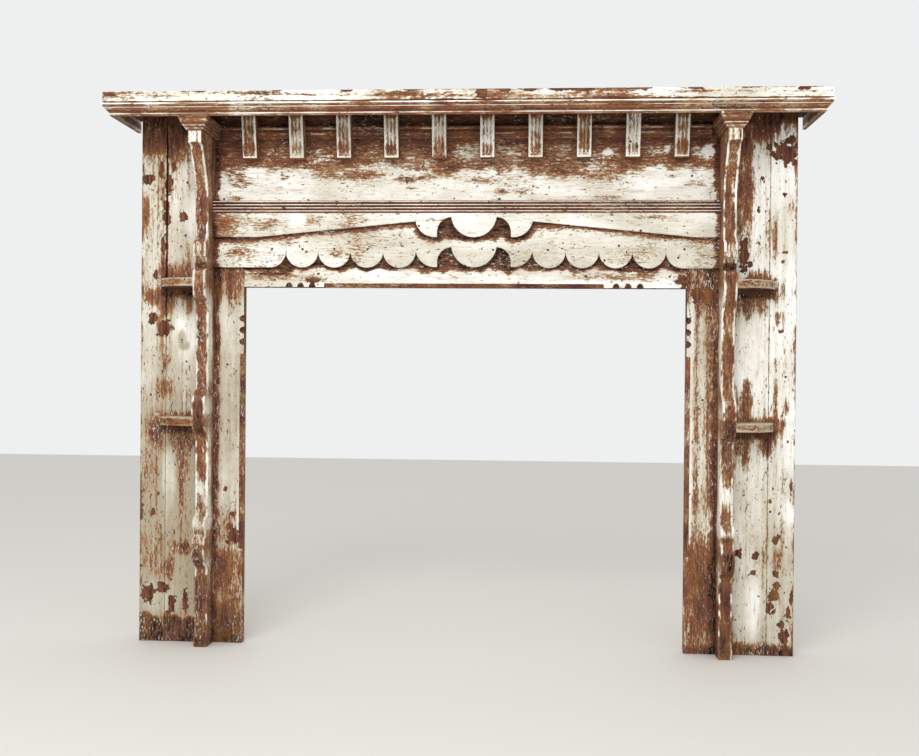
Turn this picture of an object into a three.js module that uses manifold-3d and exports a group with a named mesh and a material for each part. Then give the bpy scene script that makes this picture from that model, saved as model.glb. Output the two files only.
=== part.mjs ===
// Painted softwood fireplace mantelpiece: two legs with box backs, a frieze and lintel, a pair
// of fluted console pilasters, scalloped frets, ten bracket dentils and a moulded shelf.
// Millimetres, +Z up. X runs along the shelf and the front faces -Y. The origin is on the floor
// below the middle of the outline.

import * as THREE from 'three';
import { mergeVertices } from 'three/addons/utils/BufferGeometryUtils.js';
import Module from 'manifold-3d';

const wasm = await Module();
wasm.setup();

// Fire opening and boards. Projections are measured forward from the front of the boards.
const OPENING_WIDTH = 1130;
const OPENING_HEIGHT = 920;
const BOARD_THICKNESS = 22;
const STILE_WIDTH = 95;
const PANEL_INNER_WIDTH = 110;
const PANEL_OUTER_WIDTH = 67;
const LINTEL_HEIGHT = 120;
const JOINT_GAP = 0.3;

// Side returns, which carry the legs back to the wall.
const RETURN_DEPTH = 42;
const RETURN_THICKNESS = 20;

// Shelf and the moulding below its front and ends.
const SHELF_TOP = 1389;
const SHELF_THICKNESS = 26;
const SHELF_PROJECTION = 150;
const SHELF_OVERHANG = 47.5;
const SHELF_MOULDING_HEIGHT = 31;
const SHELF_MOULDING_DEPTH = 22;
const SHELF_BEAD_PROUD = 2.5;

// Console pilasters, in side view.
const PILASTER_THICKNESS = 34;
const HEAD_PROJECTION = 127;
const HEAD_BLOCK_DROP = 95;
const NECK_PROJECTION = 111;
const UPPER_SHAFT_PROJECTION = 62;
const SHAFT_PROJECTION = 50;
const LOWER_SHAFT_PROJECTION = 48;
const CONSOLE_CURVE_HEIGHT = 134;
const BLOCK_PROJECTION = 81;
const BUMP_PROJECTION = 85;
const LEDGE_PROJECTION = 74;
const LEDGE_BUMP_PROJECTION = 80;
const FOOT_PROJECTION = 53;
const FOOT_HEIGHT = 34;
const FOOT_SLOPE = 12;
const LEDGE_TOP = 334;
const LEDGE_SWELL_HEIGHT = 138;
const FLUTE_STOP = 10;
const ARRIS_CHAMFER = 4;
const FLUTE_DEPTH = 2.5;
const FLUTE_WIDTH = 6;
const FLUTE_LAND = 3;
const FLUTE_COUNT = 3;

// Capital moulding round three sides of a pilaster head.
const CAPITAL_HEIGHT = 35;
const CAPITAL_SPREAD = 20;
const CAPITAL_FOOT_SPREAD = 3;

// Quarter-round shelves outside the pilasters.
const CORNER_SHELF_WIDTH = 104;
const CORNER_SHELF_DEPTH = 80;
const CORNER_SHELF_THICKNESS = 22;
const CORNER_SHELF_UPPER_DROP = 425;
const CORNER_SHELF_LOWER_DROP = 778;

// Bed moulding and dentils below the shelf. The dentils take a share of the frieze above the
// reeded band, and the bed moulding a share of the dentils.
const BED_DROP_SHARE = 0.21;
const BED_HEIGHT_SHARE = 0.33;
const BED_PROJECTION = 14;
const DENTIL_COUNT = 10;
const DENTIL_WIDTH = 36;
const DENTIL_HEIGHT_SHARE = 0.516;
const DENTIL_FOOT_PROJECTION = 28;
const DENTIL_HEAD_PROJECTION = 52;
const DENTIL_FOOT_BAND = 10;
const DENTIL_END_GAP = 79;
const DENTIL_FLUTE_DEPTH = 2;
const DENTIL_ARRIS = 1.5;
const DENTIL_FLUTE_RUNOUT = 2;

// Reeded band and the two frets below it.
const BAND_RISE = 220;
const BAND_HEIGHT = 32;
const BAND_BACKING = 20;
const REED_COUNT = 4;
const REED_RISE = 4;
const REED_FLAT = 1;
const FRET_THICKNESS = 10;
const FRET_OFFSET = 28;
const UPPER_FRET_DROP = 61;
const FRET_STEP = 75;
const FRET_LOBE_DEPTH = 51;
const FRET_LOBE_HALF_WIDTH = 57.5;
const FRET_HOLLOW_RADIUS = 38;
const FRET_HOLLOW_INSET = 2;
const FRET_HOLLOW_GAP = 6;
const FRET_CUSP_HEIGHT = 40;
const FRET_SIDE_LOBE_RADIUS = 50;
const FRET_FLAT_END = 59;
const SCALLOP_RADIUS = 41.85;
const SCALLOP_STRAIGHT_END = 80;

// Chamfer and gouge cuts on the inner arris of the opening.
const EDGE_CHAMFER = 11;
const NOTCH_RADIUS = 9;
const NOTCH_COUNT = 3;
const NOTCH_PITCH = 30;
const LINTEL_CHAMFER_INSET = 206.5;
const STILE_CHAMFER_BOTTOM = 243;
const STILE_CHAMFER_TOP_DROP = 171;

const halfOpening = OPENING_WIDTH / 2;
const stileEdge = halfOpening + STILE_WIDTH;
const panelJoint = stileEdge + PANEL_INNER_WIDTH;
const halfBody = panelJoint + PANEL_OUTER_WIDTH;
const halfShelf = halfBody + SHELF_OVERHANG;
const pilasterInner = stileEdge - PILASTER_THICKNESS / 2;
const pilasterOuter = stileEdge + PILASTER_THICKNESS / 2;
const soffit = SHELF_TOP - SHELF_THICKNESS;
const lintelTop = OPENING_HEIGHT + LINTEL_HEIGHT;
const backPlane = BOARD_THICKNESS + RETURN_DEPTH;
const frontPlane = SHELF_PROJECTION + SHELF_BEAD_PROUD;
const bandTop = OPENING_HEIGHT + BAND_RISE;
const bandBottom = bandTop - BAND_HEIGHT;
const dentilHeight = DENTIL_HEIGHT_SHARE * (soffit - bandTop);
const bedTopDrop = BED_DROP_SHARE * dentilHeight;
const bedHeight = BED_HEIGHT_SHARE * dentilHeight;
const upperShelfTop = soffit - CORNER_SHELF_UPPER_DROP;
const lowerShelfTop = soffit - CORNER_SHELF_LOWER_DROP;

const FACING_RIGHT = 0;
const FACING_FRONT = -Math.PI / 2;
const FACING_LEFT = Math.PI;

const mantelpiece = new THREE.Group();
mantelpiece.position.y = (frontPlane - backPlane) / 2;

const finishes = {
  cream: { color: 0xe6dfcf, roughness: 0.62 },
  worn: { color: 0xb9a184, roughness: 0.7 },
  bare: { color: 0x8a5a38, roughness: 0.78 },
};

// Adds one named piece. Its geometry is drawn as seen from the front, X across and Z up.
function addPiece(name, geometry, finish, x, y, z, facing = 0) {
  const material = new THREE.MeshStandardMaterial({ ...finishes[finish], metalness: 0 });
  const mesh = new THREE.Mesh(geometry, material);
  mesh.name = name;
  mesh.position.set(x, y, z);
  mesh.rotation.z = facing;
  mantelpiece.add(mesh);
}

// A flat outline with thickness: shape X stays X, shape Y becomes Z, the depth runs to -Y.
function extrudeFlat(shape, depth) {
  return new THREE.ExtrudeGeometry(shape, { depth, bevelEnabled: false }).rotateX(Math.PI / 2);
}

function boardGeometry(width, height, thickness = BOARD_THICKNESS) {
  return new THREE.BoxGeometry(width, thickness, height).translate(width / 2, -thickness / 2, height / 2);
}

// A closed shape through points given as [outward, up].
function profileShape(points) {
  return new THREE.Shape(points.map(([outward, up]) => new THREE.Vector2(outward, up)));
}

// A run of moulding. Positive mitres lengthen the outer side at that end, at 45 degrees.
function mouldingGeometry(shape, length, startMitre, endMitre) {
  const settings = { depth: length, steps: 1, curveSegments: 6, bevelEnabled: false };
  const geometry = new THREE.ExtrudeGeometry(shape, settings);
  const position = geometry.attributes.position;
  for (let i = 0; i < position.count; i += 1) {
    const outward = position.getX(i);
    const atStart = position.getZ(i) < length / 2;
    const shift = atStart ? -startMitre * outward : endMitre * outward;
    position.setZ(i, position.getZ(i) + shift);
  }
  return geometry.rotateX(Math.PI / 2);
}

// Across-grain stations of a fluted face: [distance from one side, depth below the face].
function fluteStations(width, depth, arris) {
  const flutesWidth = FLUTE_COUNT * FLUTE_WIDTH + (FLUTE_COUNT - 1) * FLUTE_LAND;
  const margin = (width - flutesWidth) / 2;
  const stations = [[0, arris], [arris, 0]];
  for (let i = 0; i < FLUTE_COUNT; i += 1) {
    const start = margin + i * (FLUTE_WIDTH + FLUTE_LAND);
    stations.push([start, 0], [start + FLUTE_WIDTH / 2, depth], [start + FLUTE_WIDTH, 0]);
  }
  stations.push([width - arris, 0], [width, arris]);
  return stations;
}

// A side profile given the width of a face with flutes cut along its front. carveAt(up) says
// how much of the full flute depth is cut at that height, and frontFrom where the face begins.
function flutedGeometry(shape, width, stations, frontFrom, carveAt) {
  const steps = stations.length - 1;
  const settings = { depth: width, steps, curveSegments: 6, bevelEnabled: false };
  const geometry = new THREE.ExtrudeGeometry(shape, settings);
  const position = geometry.attributes.position;
  for (let i = 0; i < position.count; i += 1) {
    const station = stations[Math.round((position.getZ(i) / width) * steps)];
    const outward = position.getX(i);
    const carve = outward > frontFrom ? station[1] * carveAt(position.getY(i)) : 0;
    position.setXYZ(i, outward - carve, position.getY(i), station[0]);
  }
  return geometry.rotateX(Math.PI / 2);
}

function toSolid(geometry) {
  const bare = geometry.clone();
  bare.deleteAttribute('normal');
  bare.deleteAttribute('uv');
  const merged = mergeVertices(bare, 1e-3);
  const triVerts = new Uint32Array(merged.index.array);
  const vertProperties = new Float32Array(merged.attributes.position.array);
  return new wasm.Manifold(new wasm.Mesh({ numProp: 3, vertProperties, triVerts }));
}

function cutGeometry(geometry, cutters) {
  let solid = toSolid(geometry);
  for (const cutter of cutters) {
    solid = solid.subtract(toSolid(cutter));
  }
  const { vertProperties, triVerts } = solid.getMesh();
  const result = new THREE.BufferGeometry();
  result.setAttribute('position', new THREE.BufferAttribute(vertProperties, 3));
  result.setIndex(new THREE.BufferAttribute(triVerts, 1));
  result.computeVertexNormals();
  return result;
}

// Cutters for an arris that runs along X through the origin: a stopped chamfer, then gouge cuts.
function arrisCutters(chamferStart, chamferEnd, notchPlaces) {
  const side = EDGE_CHAMFER * Math.SQRT2;
  const length = chamferEnd - chamferStart;
  const chamfer = new THREE.BoxGeometry(length, side, side).rotateX(Math.PI / 4);
  chamfer.translate((chamferStart + chamferEnd) / 2, 0, 0);
  const notches = notchPlaces.map((place) => {
    const gouge = new THREE.CylinderGeometry(NOTCH_RADIUS, NOTCH_RADIUS, NOTCH_RADIUS * 4, 14);
    return gouge.rotateX(-Math.PI / 4).translate(place, 0, 0);
  });
  return [chamfer, ...notches];
}

function notchPlaces(chamferEnd, direction) {
  const places = [];
  for (let i = 1; i <= NOTCH_COUNT; i += 1) {
    places.push(chamferEnd + direction * i * NOTCH_PITCH);
  }
  return places;
}

// Boards of the legs and head.
function addBoards() {
  addPiece('frieze_board', boardGeometry(2 * stileEdge, soffit - lintelTop), 'cream',
    -stileEdge, BOARD_THICKNESS, lintelTop);
  for (const [label, side] of [['left', -1], ['right', 1]]) {
    const innerStart = side < 0 ? -panelJoint : stileEdge;
    const outerStart = side < 0 ? -halfBody : panelJoint + JOINT_GAP;
    addPiece(`panel_inner_${label}`, boardGeometry(PANEL_INNER_WIDTH, soffit), 'cream',
      innerStart, BOARD_THICKNESS, 0);
    addPiece(`panel_outer_${label}`, boardGeometry(PANEL_OUTER_WIDTH - JOINT_GAP, soffit), 'cream',
      outerStart, BOARD_THICKNESS, 0);
    const returnStart = side < 0 ? -halfBody : halfBody - RETURN_THICKNESS;
    addPiece(`side_return_${label}`, boardGeometry(RETURN_THICKNESS, soffit, RETURN_DEPTH), 'worn',
      returnStart, backPlane, 0);
  }
}

// Lintel between the stiles, with a stopped chamfer and three gouge cuts at each end.
function addLintel() {
  const board = boardGeometry(OPENING_WIDTH, LINTEL_HEIGHT);
  const start = LINTEL_CHAMFER_INSET;
  const end = OPENING_WIDTH - LINTEL_CHAMFER_INSET;
  const places = [...notchPlaces(start, -1), ...notchPlaces(end, 1)];
  const cutters = arrisCutters(start, end, places);
  for (const cutter of cutters) {
    cutter.translate(0, -BOARD_THICKNESS, 0);
  }
  addPiece('lintel_board', cutGeometry(board, cutters), 'cream', -halfOpening, BOARD_THICKNESS, OPENING_HEIGHT);
}

// Stiles beside the opening, cut on the arris that faces it.
function addStiles() {
  const chamferTop = OPENING_HEIGHT - STILE_CHAMFER_TOP_DROP;
  for (const [label, side] of [['left', -1], ['right', 1]]) {
    const board = boardGeometry(STILE_WIDTH, lintelTop);
    const cutters = arrisCutters(STILE_CHAMFER_BOTTOM, chamferTop, notchPlaces(chamferTop, 1));
    for (const cutter of cutters) {
      cutter.rotateY(-Math.PI / 2);
      cutter.rotateZ(side < 0 ? 0 : Math.PI / 2);
      cutter.translate(side < 0 ? STILE_WIDTH : 0, -BOARD_THICKNESS, 0);
    }
    const start = side < 0 ? -stileEdge : halfOpening;
    addPiece(`inner_stile_${label}`, cutGeometry(board, cutters), 'cream', start, BOARD_THICKNESS, 0);
  }
}

// Section of the shelf moulding: outward from the fascia plane, up from the shelf's underside.
function shelfMouldingShape() {
  const back = (share) => -SHELF_MOULDING_DEPTH * share;
  const down = (share) => -SHELF_MOULDING_HEIGHT * share;
  const shape = new THREE.Shape();
  shape.moveTo(back(1), -JOINT_GAP);
  shape.lineTo(back(1), down(1));
  shape.lineTo(back(0.64), down(1));
  shape.lineTo(back(0.59), down(0.9));
  shape.quadraticCurveTo(back(0.45), down(0.89), back(0.48), down(0.81));
  shape.lineTo(back(0.57), down(0.76));
  shape.lineTo(back(0.55), down(0.69));
  shape.quadraticCurveTo(back(0.27), down(0.65), back(0.2), down(0.44));
  shape.lineTo(back(0.09), down(0.42));
  shape.lineTo(back(0.09), down(0.355));
  shape.lineTo(0, down(0.34));
  shape.quadraticCurveTo(SHELF_BEAD_PROUD * 2, down(0.19), 0, down(0.05));
  shape.lineTo(back(0.07), -JOINT_GAP);
  return shape;
}

function addShelf() {
  const depth = SHELF_PROJECTION + backPlane;
  addPiece('shelf_board', boardGeometry(2 * halfShelf, SHELF_THICKNESS, depth), 'cream',
    -halfShelf, backPlane, soffit);
  const shape = shelfMouldingShape();
  const mitreGap = JOINT_GAP / Math.SQRT2;
  const frontLength = 2 * (halfShelf - mitreGap);
  addPiece('shelf_moulding_front', mouldingGeometry(shape, frontLength, 1, 1), 'worn',
    halfShelf - mitreGap, -SHELF_PROJECTION, soffit, FACING_FRONT);
  const sideLength = depth - mitreGap;
  addPiece('shelf_moulding_left', mouldingGeometry(shape, sideLength, 1, 0), 'worn',
    -halfShelf, mitreGap - SHELF_PROJECTION, soffit, FACING_LEFT);
  addPiece('shelf_moulding_right', mouldingGeometry(shape, sideLength, 0, 1), 'worn',
    halfShelf, backPlane, soffit, FACING_RIGHT);
}

// Side view of a console pilaster, from the back of its head round to the back of its foot.
// The swellings sit level with the corner shelves and are laid out in thicknesses of those.
function pilasterShape() {
  const blockBottom = soffit - HEAD_BLOCK_DROP;
  const curveAt = (share) => blockBottom - CONSOLE_CURVE_HEIGHT * share;
  const ledgeAt = (share) => LEDGE_TOP - LEDGE_SWELL_HEIGHT * share;
  const upper = (count) => upperShelfTop + CORNER_SHELF_THICKNESS * count;
  const lower = (count) => lowerShelfTop + CORNER_SHELF_THICKNESS * count;
  const shape = new THREE.Shape();
  shape.moveTo(0, soffit);
  shape.lineTo(0, 0);
  shape.lineTo(FOOT_PROJECTION, 0);
  shape.lineTo(FOOT_PROJECTION, FOOT_HEIGHT - FOOT_SLOPE);
  shape.lineTo(LOWER_SHAFT_PROJECTION, FOOT_HEIGHT);
  shape.lineTo(LOWER_SHAFT_PROJECTION, ledgeAt(1));
  shape.bezierCurveTo(LOWER_SHAFT_PROJECTION * 1.12, ledgeAt(0.9), LEDGE_BUMP_PROJECTION, ledgeAt(0.93),
    LEDGE_BUMP_PROJECTION, ledgeAt(0.71));
  shape.quadraticCurveTo(LEDGE_BUMP_PROJECTION, ledgeAt(0.46), LEDGE_PROJECTION * 0.89, ledgeAt(0.3));
  shape.lineTo(LEDGE_PROJECTION * 0.92, ledgeAt(0.24));
  shape.quadraticCurveTo(LEDGE_PROJECTION * 1.05, ledgeAt(0.16), LEDGE_PROJECTION * 0.97, ledgeAt(0.09));
  shape.quadraticCurveTo(LEDGE_PROJECTION * 0.84, ledgeAt(0.01), LOWER_SHAFT_PROJECTION, LEDGE_TOP);
  shape.lineTo(SHAFT_PROJECTION, lower(-3));
  shape.bezierCurveTo(SHAFT_PROJECTION * 1.12, lower(-1.36), BUMP_PROJECTION, lower(-1.9),
    BUMP_PROJECTION, lower(-0.18));
  shape.lineTo(BUMP_PROJECTION, lower(1.45));
  shape.bezierCurveTo(BUMP_PROJECTION, lower(2.82), SHAFT_PROJECTION, lower(2.64), SHAFT_PROJECTION, lower(4.1));
  shape.lineTo(SHAFT_PROJECTION * 1.04, upper(-4.45));
  shape.bezierCurveTo(SHAFT_PROJECTION * 1.08, upper(-2.55), BUMP_PROJECTION, upper(-2.73),
    BUMP_PROJECTION, upper(-0.64));
  shape.lineTo(BUMP_PROJECTION * 0.99, upper(0.77));
  shape.lineTo(UPPER_SHAFT_PROJECTION, upper(1.18));
  shape.quadraticCurveTo(UPPER_SHAFT_PROJECTION * 1.06, upper(1.91), BLOCK_PROJECTION, upper(2.45));
  shape.lineTo(BLOCK_PROJECTION, upper(4.1));
  shape.quadraticCurveTo(UPPER_SHAFT_PROJECTION * 1.06, upper(4.27), UPPER_SHAFT_PROJECTION, upper(5));
  shape.lineTo(UPPER_SHAFT_PROJECTION, curveAt(1));
  shape.bezierCurveTo(UPPER_SHAFT_PROJECTION * 1.03, curveAt(0.59), NECK_PROJECTION * 0.86, curveAt(0.34),
    NECK_PROJECTION, curveAt(0.04));
  shape.lineTo(HEAD_PROJECTION, blockBottom);
  shape.lineTo(HEAD_PROJECTION, soffit);
  return shape;
}

// Flutes and chamfered arrises run over the shafts and swellings and stop at the head and foot.
function pilasterCarve(up) {
  const headStop = soffit - HEAD_BLOCK_DROP - FLUTE_STOP;
  return up > headStop || up < FOOT_HEIGHT - FOOT_SLOPE / 2 ? 0 : 1;
}

function addPilasters() {
  const stations = fluteStations(PILASTER_THICKNESS, FLUTE_DEPTH, ARRIS_CHAMFER);
  const frontFrom = LOWER_SHAFT_PROJECTION / 2;
  for (const [label, side] of [['left', -1], ['right', 1]]) {
    const shape = pilasterShape();
    const geometry = flutedGeometry(shape, PILASTER_THICKNESS, stations, frontFrom, pilasterCarve);
    const rightSide = side * stileEdge + PILASTER_THICKNESS / 2;
    addPiece(`pilaster_${label}`, geometry, 'worn', rightSide, 0, 0, FACING_FRONT);
  }
}

// Section of a capital: outward from the pilaster's face, up from the capital's foot.
function capitalShape() {
  const top = CAPITAL_HEIGHT;
  const spread = CAPITAL_SPREAD;
  const foot = CAPITAL_FOOT_SPREAD;
  return profileShape([
    [JOINT_GAP, 0],
    [foot, 0],
    [spread * 0.2, top * 0.12],
    [spread * 0.3, top * 0.14],
    [spread * 0.42, top * 0.3],
    [spread * 0.55, top * 0.33],
    [spread * 0.55, top * 0.42],
    [spread * 0.72, top * 0.5],
    [spread * 0.78, top * 0.62],
    [spread * 0.72, top * 0.68],
    [spread * 0.88, top * 0.72],
    [spread * 0.95, top * 0.84],
    [spread, top * 0.86],
    [spread, top],
    [JOINT_GAP, top],
  ]);
}

function addCapitals() {
  const shape = capitalShape();
  const foot = soffit - SHELF_MOULDING_HEIGHT - CAPITAL_HEIGHT;
  const mitreGap = JOINT_GAP / Math.SQRT2;
  for (const [label, side] of [['left', -1], ['right', 1]]) {
    const rightSide = side * stileEdge + PILASTER_THICKNESS / 2;
    const leftSide = rightSide - PILASTER_THICKNESS;
    const frontLength = PILASTER_THICKNESS - 2 * mitreGap;
    const sideLength = HEAD_PROJECTION - JOINT_GAP - mitreGap;
    addPiece(`capital_front_${label}`, mouldingGeometry(shape, frontLength, 1, 1), 'worn',
      rightSide - mitreGap, -HEAD_PROJECTION, foot, FACING_FRONT);
    const [leftName, rightName] = side < 0 ? ['outer', 'inner'] : ['inner', 'outer'];
    addPiece(`capital_${leftName}_${label}`, mouldingGeometry(shape, sideLength, 1, 0), 'worn',
      leftSide, mitreGap - HEAD_PROJECTION, foot, FACING_LEFT);
    addPiece(`capital_${rightName}_${label}`, mouldingGeometry(shape, sideLength, 0, 1), 'worn',
      rightSide, -JOINT_GAP, foot, FACING_RIGHT);
  }
}

// Plan of a corner shelf: square against the pilaster and the board, round at the outer corner.
function cornerShelfGeometry(side) {
  const straight = CORNER_SHELF_WIDTH - CORNER_SHELF_DEPTH;
  const shape = new THREE.Shape();
  shape.moveTo(0, 0);
  shape.lineTo(0, -CORNER_SHELF_DEPTH);
  shape.lineTo(straight, -CORNER_SHELF_DEPTH);
  shape.absarc(straight, 0, CORNER_SHELF_DEPTH, -Math.PI / 2, 0, false);
  const settings = { depth: CORNER_SHELF_THICKNESS, curveSegments: 14, bevelEnabled: false };
  const geometry = new THREE.ExtrudeGeometry(shape, settings);
  if (side > 0) {
    return geometry;
  }
  // The left shelf is the right one turned over about the front-to-back axis.
  return geometry.rotateY(Math.PI).translate(0, 0, CORNER_SHELF_THICKNESS);
}

function addCornerShelves() {
  const levels = [['upper', upperShelfTop], ['lower', lowerShelfTop]];
  for (const [level, top] of levels) {
    for (const [label, side] of [['left', -1], ['right', 1]]) {
      addPiece(`corner_shelf_${level}_${label}`, cornerShelfGeometry(side), 'bare',
        side * pilasterOuter, 0, top - CORNER_SHELF_THICKNESS);
    }
  }
}

// Bed moulding along the top of the frieze, between the capitals: two rolls and a fillet.
function addBedMoulding() {
  const out = (share) => BED_PROJECTION * share;
  const up = (share) => bedHeight * share;
  const shape = new THREE.Shape();
  shape.moveTo(0, 0);
  shape.lineTo(out(0.21), 0);
  shape.lineTo(out(0.29), up(0.11));
  shape.quadraticCurveTo(out(0.86), up(0.16), out(0.71), up(0.45));
  shape.lineTo(out(0.43), up(0.49));
  shape.lineTo(out(0.43), up(0.55));
  shape.quadraticCurveTo(out(1.36), up(0.71), out(0.64), up(0.89));
  shape.lineTo(out(0.57), up(1));
  shape.lineTo(0, up(1));
  const reach = pilasterInner - CAPITAL_SPREAD - JOINT_GAP;
  addPiece('bed_moulding', mouldingGeometry(shape, 2 * reach, 0, 0), 'bare',
    reach, 0, soffit - bedTopDrop - bedHeight, FACING_FRONT);
}

// Bracket dentils: wedges rebated over the bed moulding, fluted above a plain foot band.
function addDentils() {
  const rebate = BED_PROJECTION + JOINT_GAP;
  const rebateFoot = dentilHeight - bedTopDrop - bedHeight - JOINT_GAP;
  const slope = (DENTIL_HEAD_PROJECTION - DENTIL_FOOT_PROJECTION) / dentilHeight;
  const bandFace = DENTIL_FOOT_PROJECTION + slope * DENTIL_FOOT_BAND;
  const shape = profileShape([
    [0, 0],
    [DENTIL_FOOT_PROJECTION, 0],
    [bandFace, DENTIL_FOOT_BAND],
    [bandFace + slope * DENTIL_FLUTE_RUNOUT, DENTIL_FOOT_BAND + DENTIL_FLUTE_RUNOUT],
    [DENTIL_HEAD_PROJECTION, dentilHeight],
    [rebate, dentilHeight],
    [rebate, rebateFoot],
    [0, rebateFoot],
  ]);
  const carveAt = (up) => (up > DENTIL_FOOT_BAND + DENTIL_FLUTE_RUNOUT / 2 ? 1 : 0);
  const stations = fluteStations(DENTIL_WIDTH, DENTIL_FLUTE_DEPTH, DENTIL_ARRIS);
  const firstCentre = DENTIL_END_GAP + DENTIL_WIDTH / 2 - pilasterInner;
  const pitch = (-2 * firstCentre) / (DENTIL_COUNT - 1);
  const frontFrom = (rebate + DENTIL_FOOT_PROJECTION) / 2;
  for (let i = 0; i < DENTIL_COUNT; i += 1) {
    const geometry = flutedGeometry(shape, DENTIL_WIDTH, stations, frontFrom, carveAt);
    const label = String(i + 1).padStart(2, '0');
    addPiece(`dentil_${label}`, geometry, 'worn',
      firstCentre + i * pitch + DENTIL_WIDTH / 2, 0, soffit - dentilHeight, FACING_FRONT);
  }
}

// Reeded band: rounded reeds between narrow grooves on a flat backing.
function addReededBand() {
  const pitch = BAND_HEIGHT / REED_COUNT;
  const crown = BAND_BACKING + REED_RISE * 1.3;
  const shape = new THREE.Shape();
  shape.moveTo(0, 0);
  shape.lineTo(BAND_BACKING, 0);
  for (let i = 0; i < REED_COUNT; i += 1) {
    const foot = i * pitch + REED_FLAT;
    const head = (i + 1) * pitch - REED_FLAT;
    shape.lineTo(BAND_BACKING, foot);
    shape.bezierCurveTo(crown, foot, crown, head, BAND_BACKING, head);
  }
  shape.lineTo(BAND_BACKING, BAND_HEIGHT);
  shape.lineTo(0, BAND_HEIGHT);
  addPiece('reeded_band', mouldingGeometry(shape, 2 * pilasterInner, 0, 0), 'worn',
    pilasterInner, 0, bandBottom, FACING_FRONT);
}

// Lower edge of one half of a fret, outward from its centre: a big lobe, a hollow and a part
// lobe up to the outer cusp. Distances are from the fret's centre line and its lowest level.
function centreMotif() {
  const lobeRadius = (FRET_LOBE_HALF_WIDTH ** 2 + FRET_LOBE_DEPTH ** 2) / (2 * FRET_LOBE_DEPTH);
  const hollowX = FRET_LOBE_HALF_WIDTH - FRET_HOLLOW_INSET;
  const hollowZ = FRET_LOBE_DEPTH - FRET_HOLLOW_RADIUS;
  const sideX = hollowX + FRET_HOLLOW_RADIUS + FRET_HOLLOW_GAP;
  const sideZ = FRET_SIDE_LOBE_RADIUS;
  const outerCusp = sideX + Math.sqrt(FRET_SIDE_LOBE_RADIUS ** 2 - (sideZ - FRET_CUSP_HEIGHT) ** 2);
  return { lobeRadius, hollowX, hollowZ, sideX, sideZ, outerCusp };
}

function arcPoints(centreX, centreZ, radius, from, to, segments) {
  const points = [];
  for (let i = 0; i <= segments; i += 1) {
    const angle = from + ((to - from) * i) / segments;
    points.push([centreX + radius * Math.cos(angle), centreZ + radius * Math.sin(angle)]);
  }
  return points;
}

function halfMotifPoints() {
  const motif = centreMotif();
  const lobeEnd = Math.asin(FRET_LOBE_HALF_WIDTH / motif.lobeRadius) - Math.PI / 2;
  const sideStart = -Math.PI / 2 - 0.12;
  const sideEnd = Math.atan2(FRET_CUSP_HEIGHT - motif.sideZ, motif.outerCusp - motif.sideX);
  return [
    ...arcPoints(0, motif.lobeRadius, motif.lobeRadius, -Math.PI / 2, lobeEnd, 10),
    ...arcPoints(motif.hollowX, motif.hollowZ, FRET_HOLLOW_RADIUS, Math.PI / 2, 0, 7).slice(1),
    ...arcPoints(motif.sideX, motif.sideZ, FRET_SIDE_LOBE_RADIUS, sideStart, sideEnd, 8),
  ];
}

// Mirrors a half outline about the centre line and closes it along the top.
function fretGeometry(halfPoints, height) {
  const left = -pilasterInner - FRET_OFFSET;
  const right = pilasterInner - FRET_OFFSET;
  const mirrored = halfPoints.slice(1).reverse().map(([x, z]) => [-x, z]);
  const outline = [[left, height], [left, mirrored[0][1]], ...mirrored, ...halfPoints];
  outline.push([right, halfPoints[halfPoints.length - 1][1]], [right, height]);
  return extrudeFlat(profileShape(outline), FRET_THICKNESS);
}

function scallopCount() {
  const room = pilasterInner - Math.abs(FRET_OFFSET) - centreMotif().outerCusp;
  return Math.max(0, Math.floor((room - SCALLOP_RADIUS - SCALLOP_STRAIGHT_END) / (2 * SCALLOP_RADIUS)));
}

function addLowerFret() {
  const motif = centreMotif();
  const points = halfMotifPoints();
  const count = scallopCount();
  for (let i = 0; i < count; i += 1) {
    const centre = motif.outerCusp + (2 * i + 1) * SCALLOP_RADIUS;
    points.push(...arcPoints(centre, FRET_CUSP_HEIGHT, SCALLOP_RADIUS, -Math.PI, 0, 10).slice(1));
  }
  const lastCentre = motif.outerCusp + (2 * count + 1) * SCALLOP_RADIUS;
  const lastArc = arcPoints(lastCentre, FRET_CUSP_HEIGHT, SCALLOP_RADIUS, -Math.PI, -Math.PI / 2, 5);
  points.push(...lastArc.slice(1));
  const foot = bandBottom - UPPER_FRET_DROP - FRET_STEP;
  addPiece('lower_fret', fretGeometry(points, bandBottom - foot), 'cream', FRET_OFFSET, 0, foot);
}

function addUpperFret() {
  const points = halfMotifPoints();
  const slopeEnd = pilasterInner - Math.abs(FRET_OFFSET) - FRET_FLAT_END;
  points.push([slopeEnd, 0]);
  const foot = bandBottom - UPPER_FRET_DROP;
  addPiece('upper_fret', fretGeometry(points, bandBottom - foot), 'cream',
    FRET_OFFSET, -FRET_THICKNESS, foot);
}

addBoards();
addLintel();
addStiles();
addShelf();
addPilasters();
addCapitals();
addCornerShelves();
addBedMoulding();
addDentils();
addReededBand();
addLowerFret();
addUpperFret();

export default mantelpiece;
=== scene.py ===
"""Painted softwood fireplace mantelpiece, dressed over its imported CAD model.

Lengths inside the mesh code are millimetres, measured from the front of the boards: X along
the shelf, Y back into the wall, Z up. add_piece turns them into the metres of the frame.
"""

import math

import bmesh
import bpy
import numpy as np
from mathutils import Matrix, Vector, kdtree, noise


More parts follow.
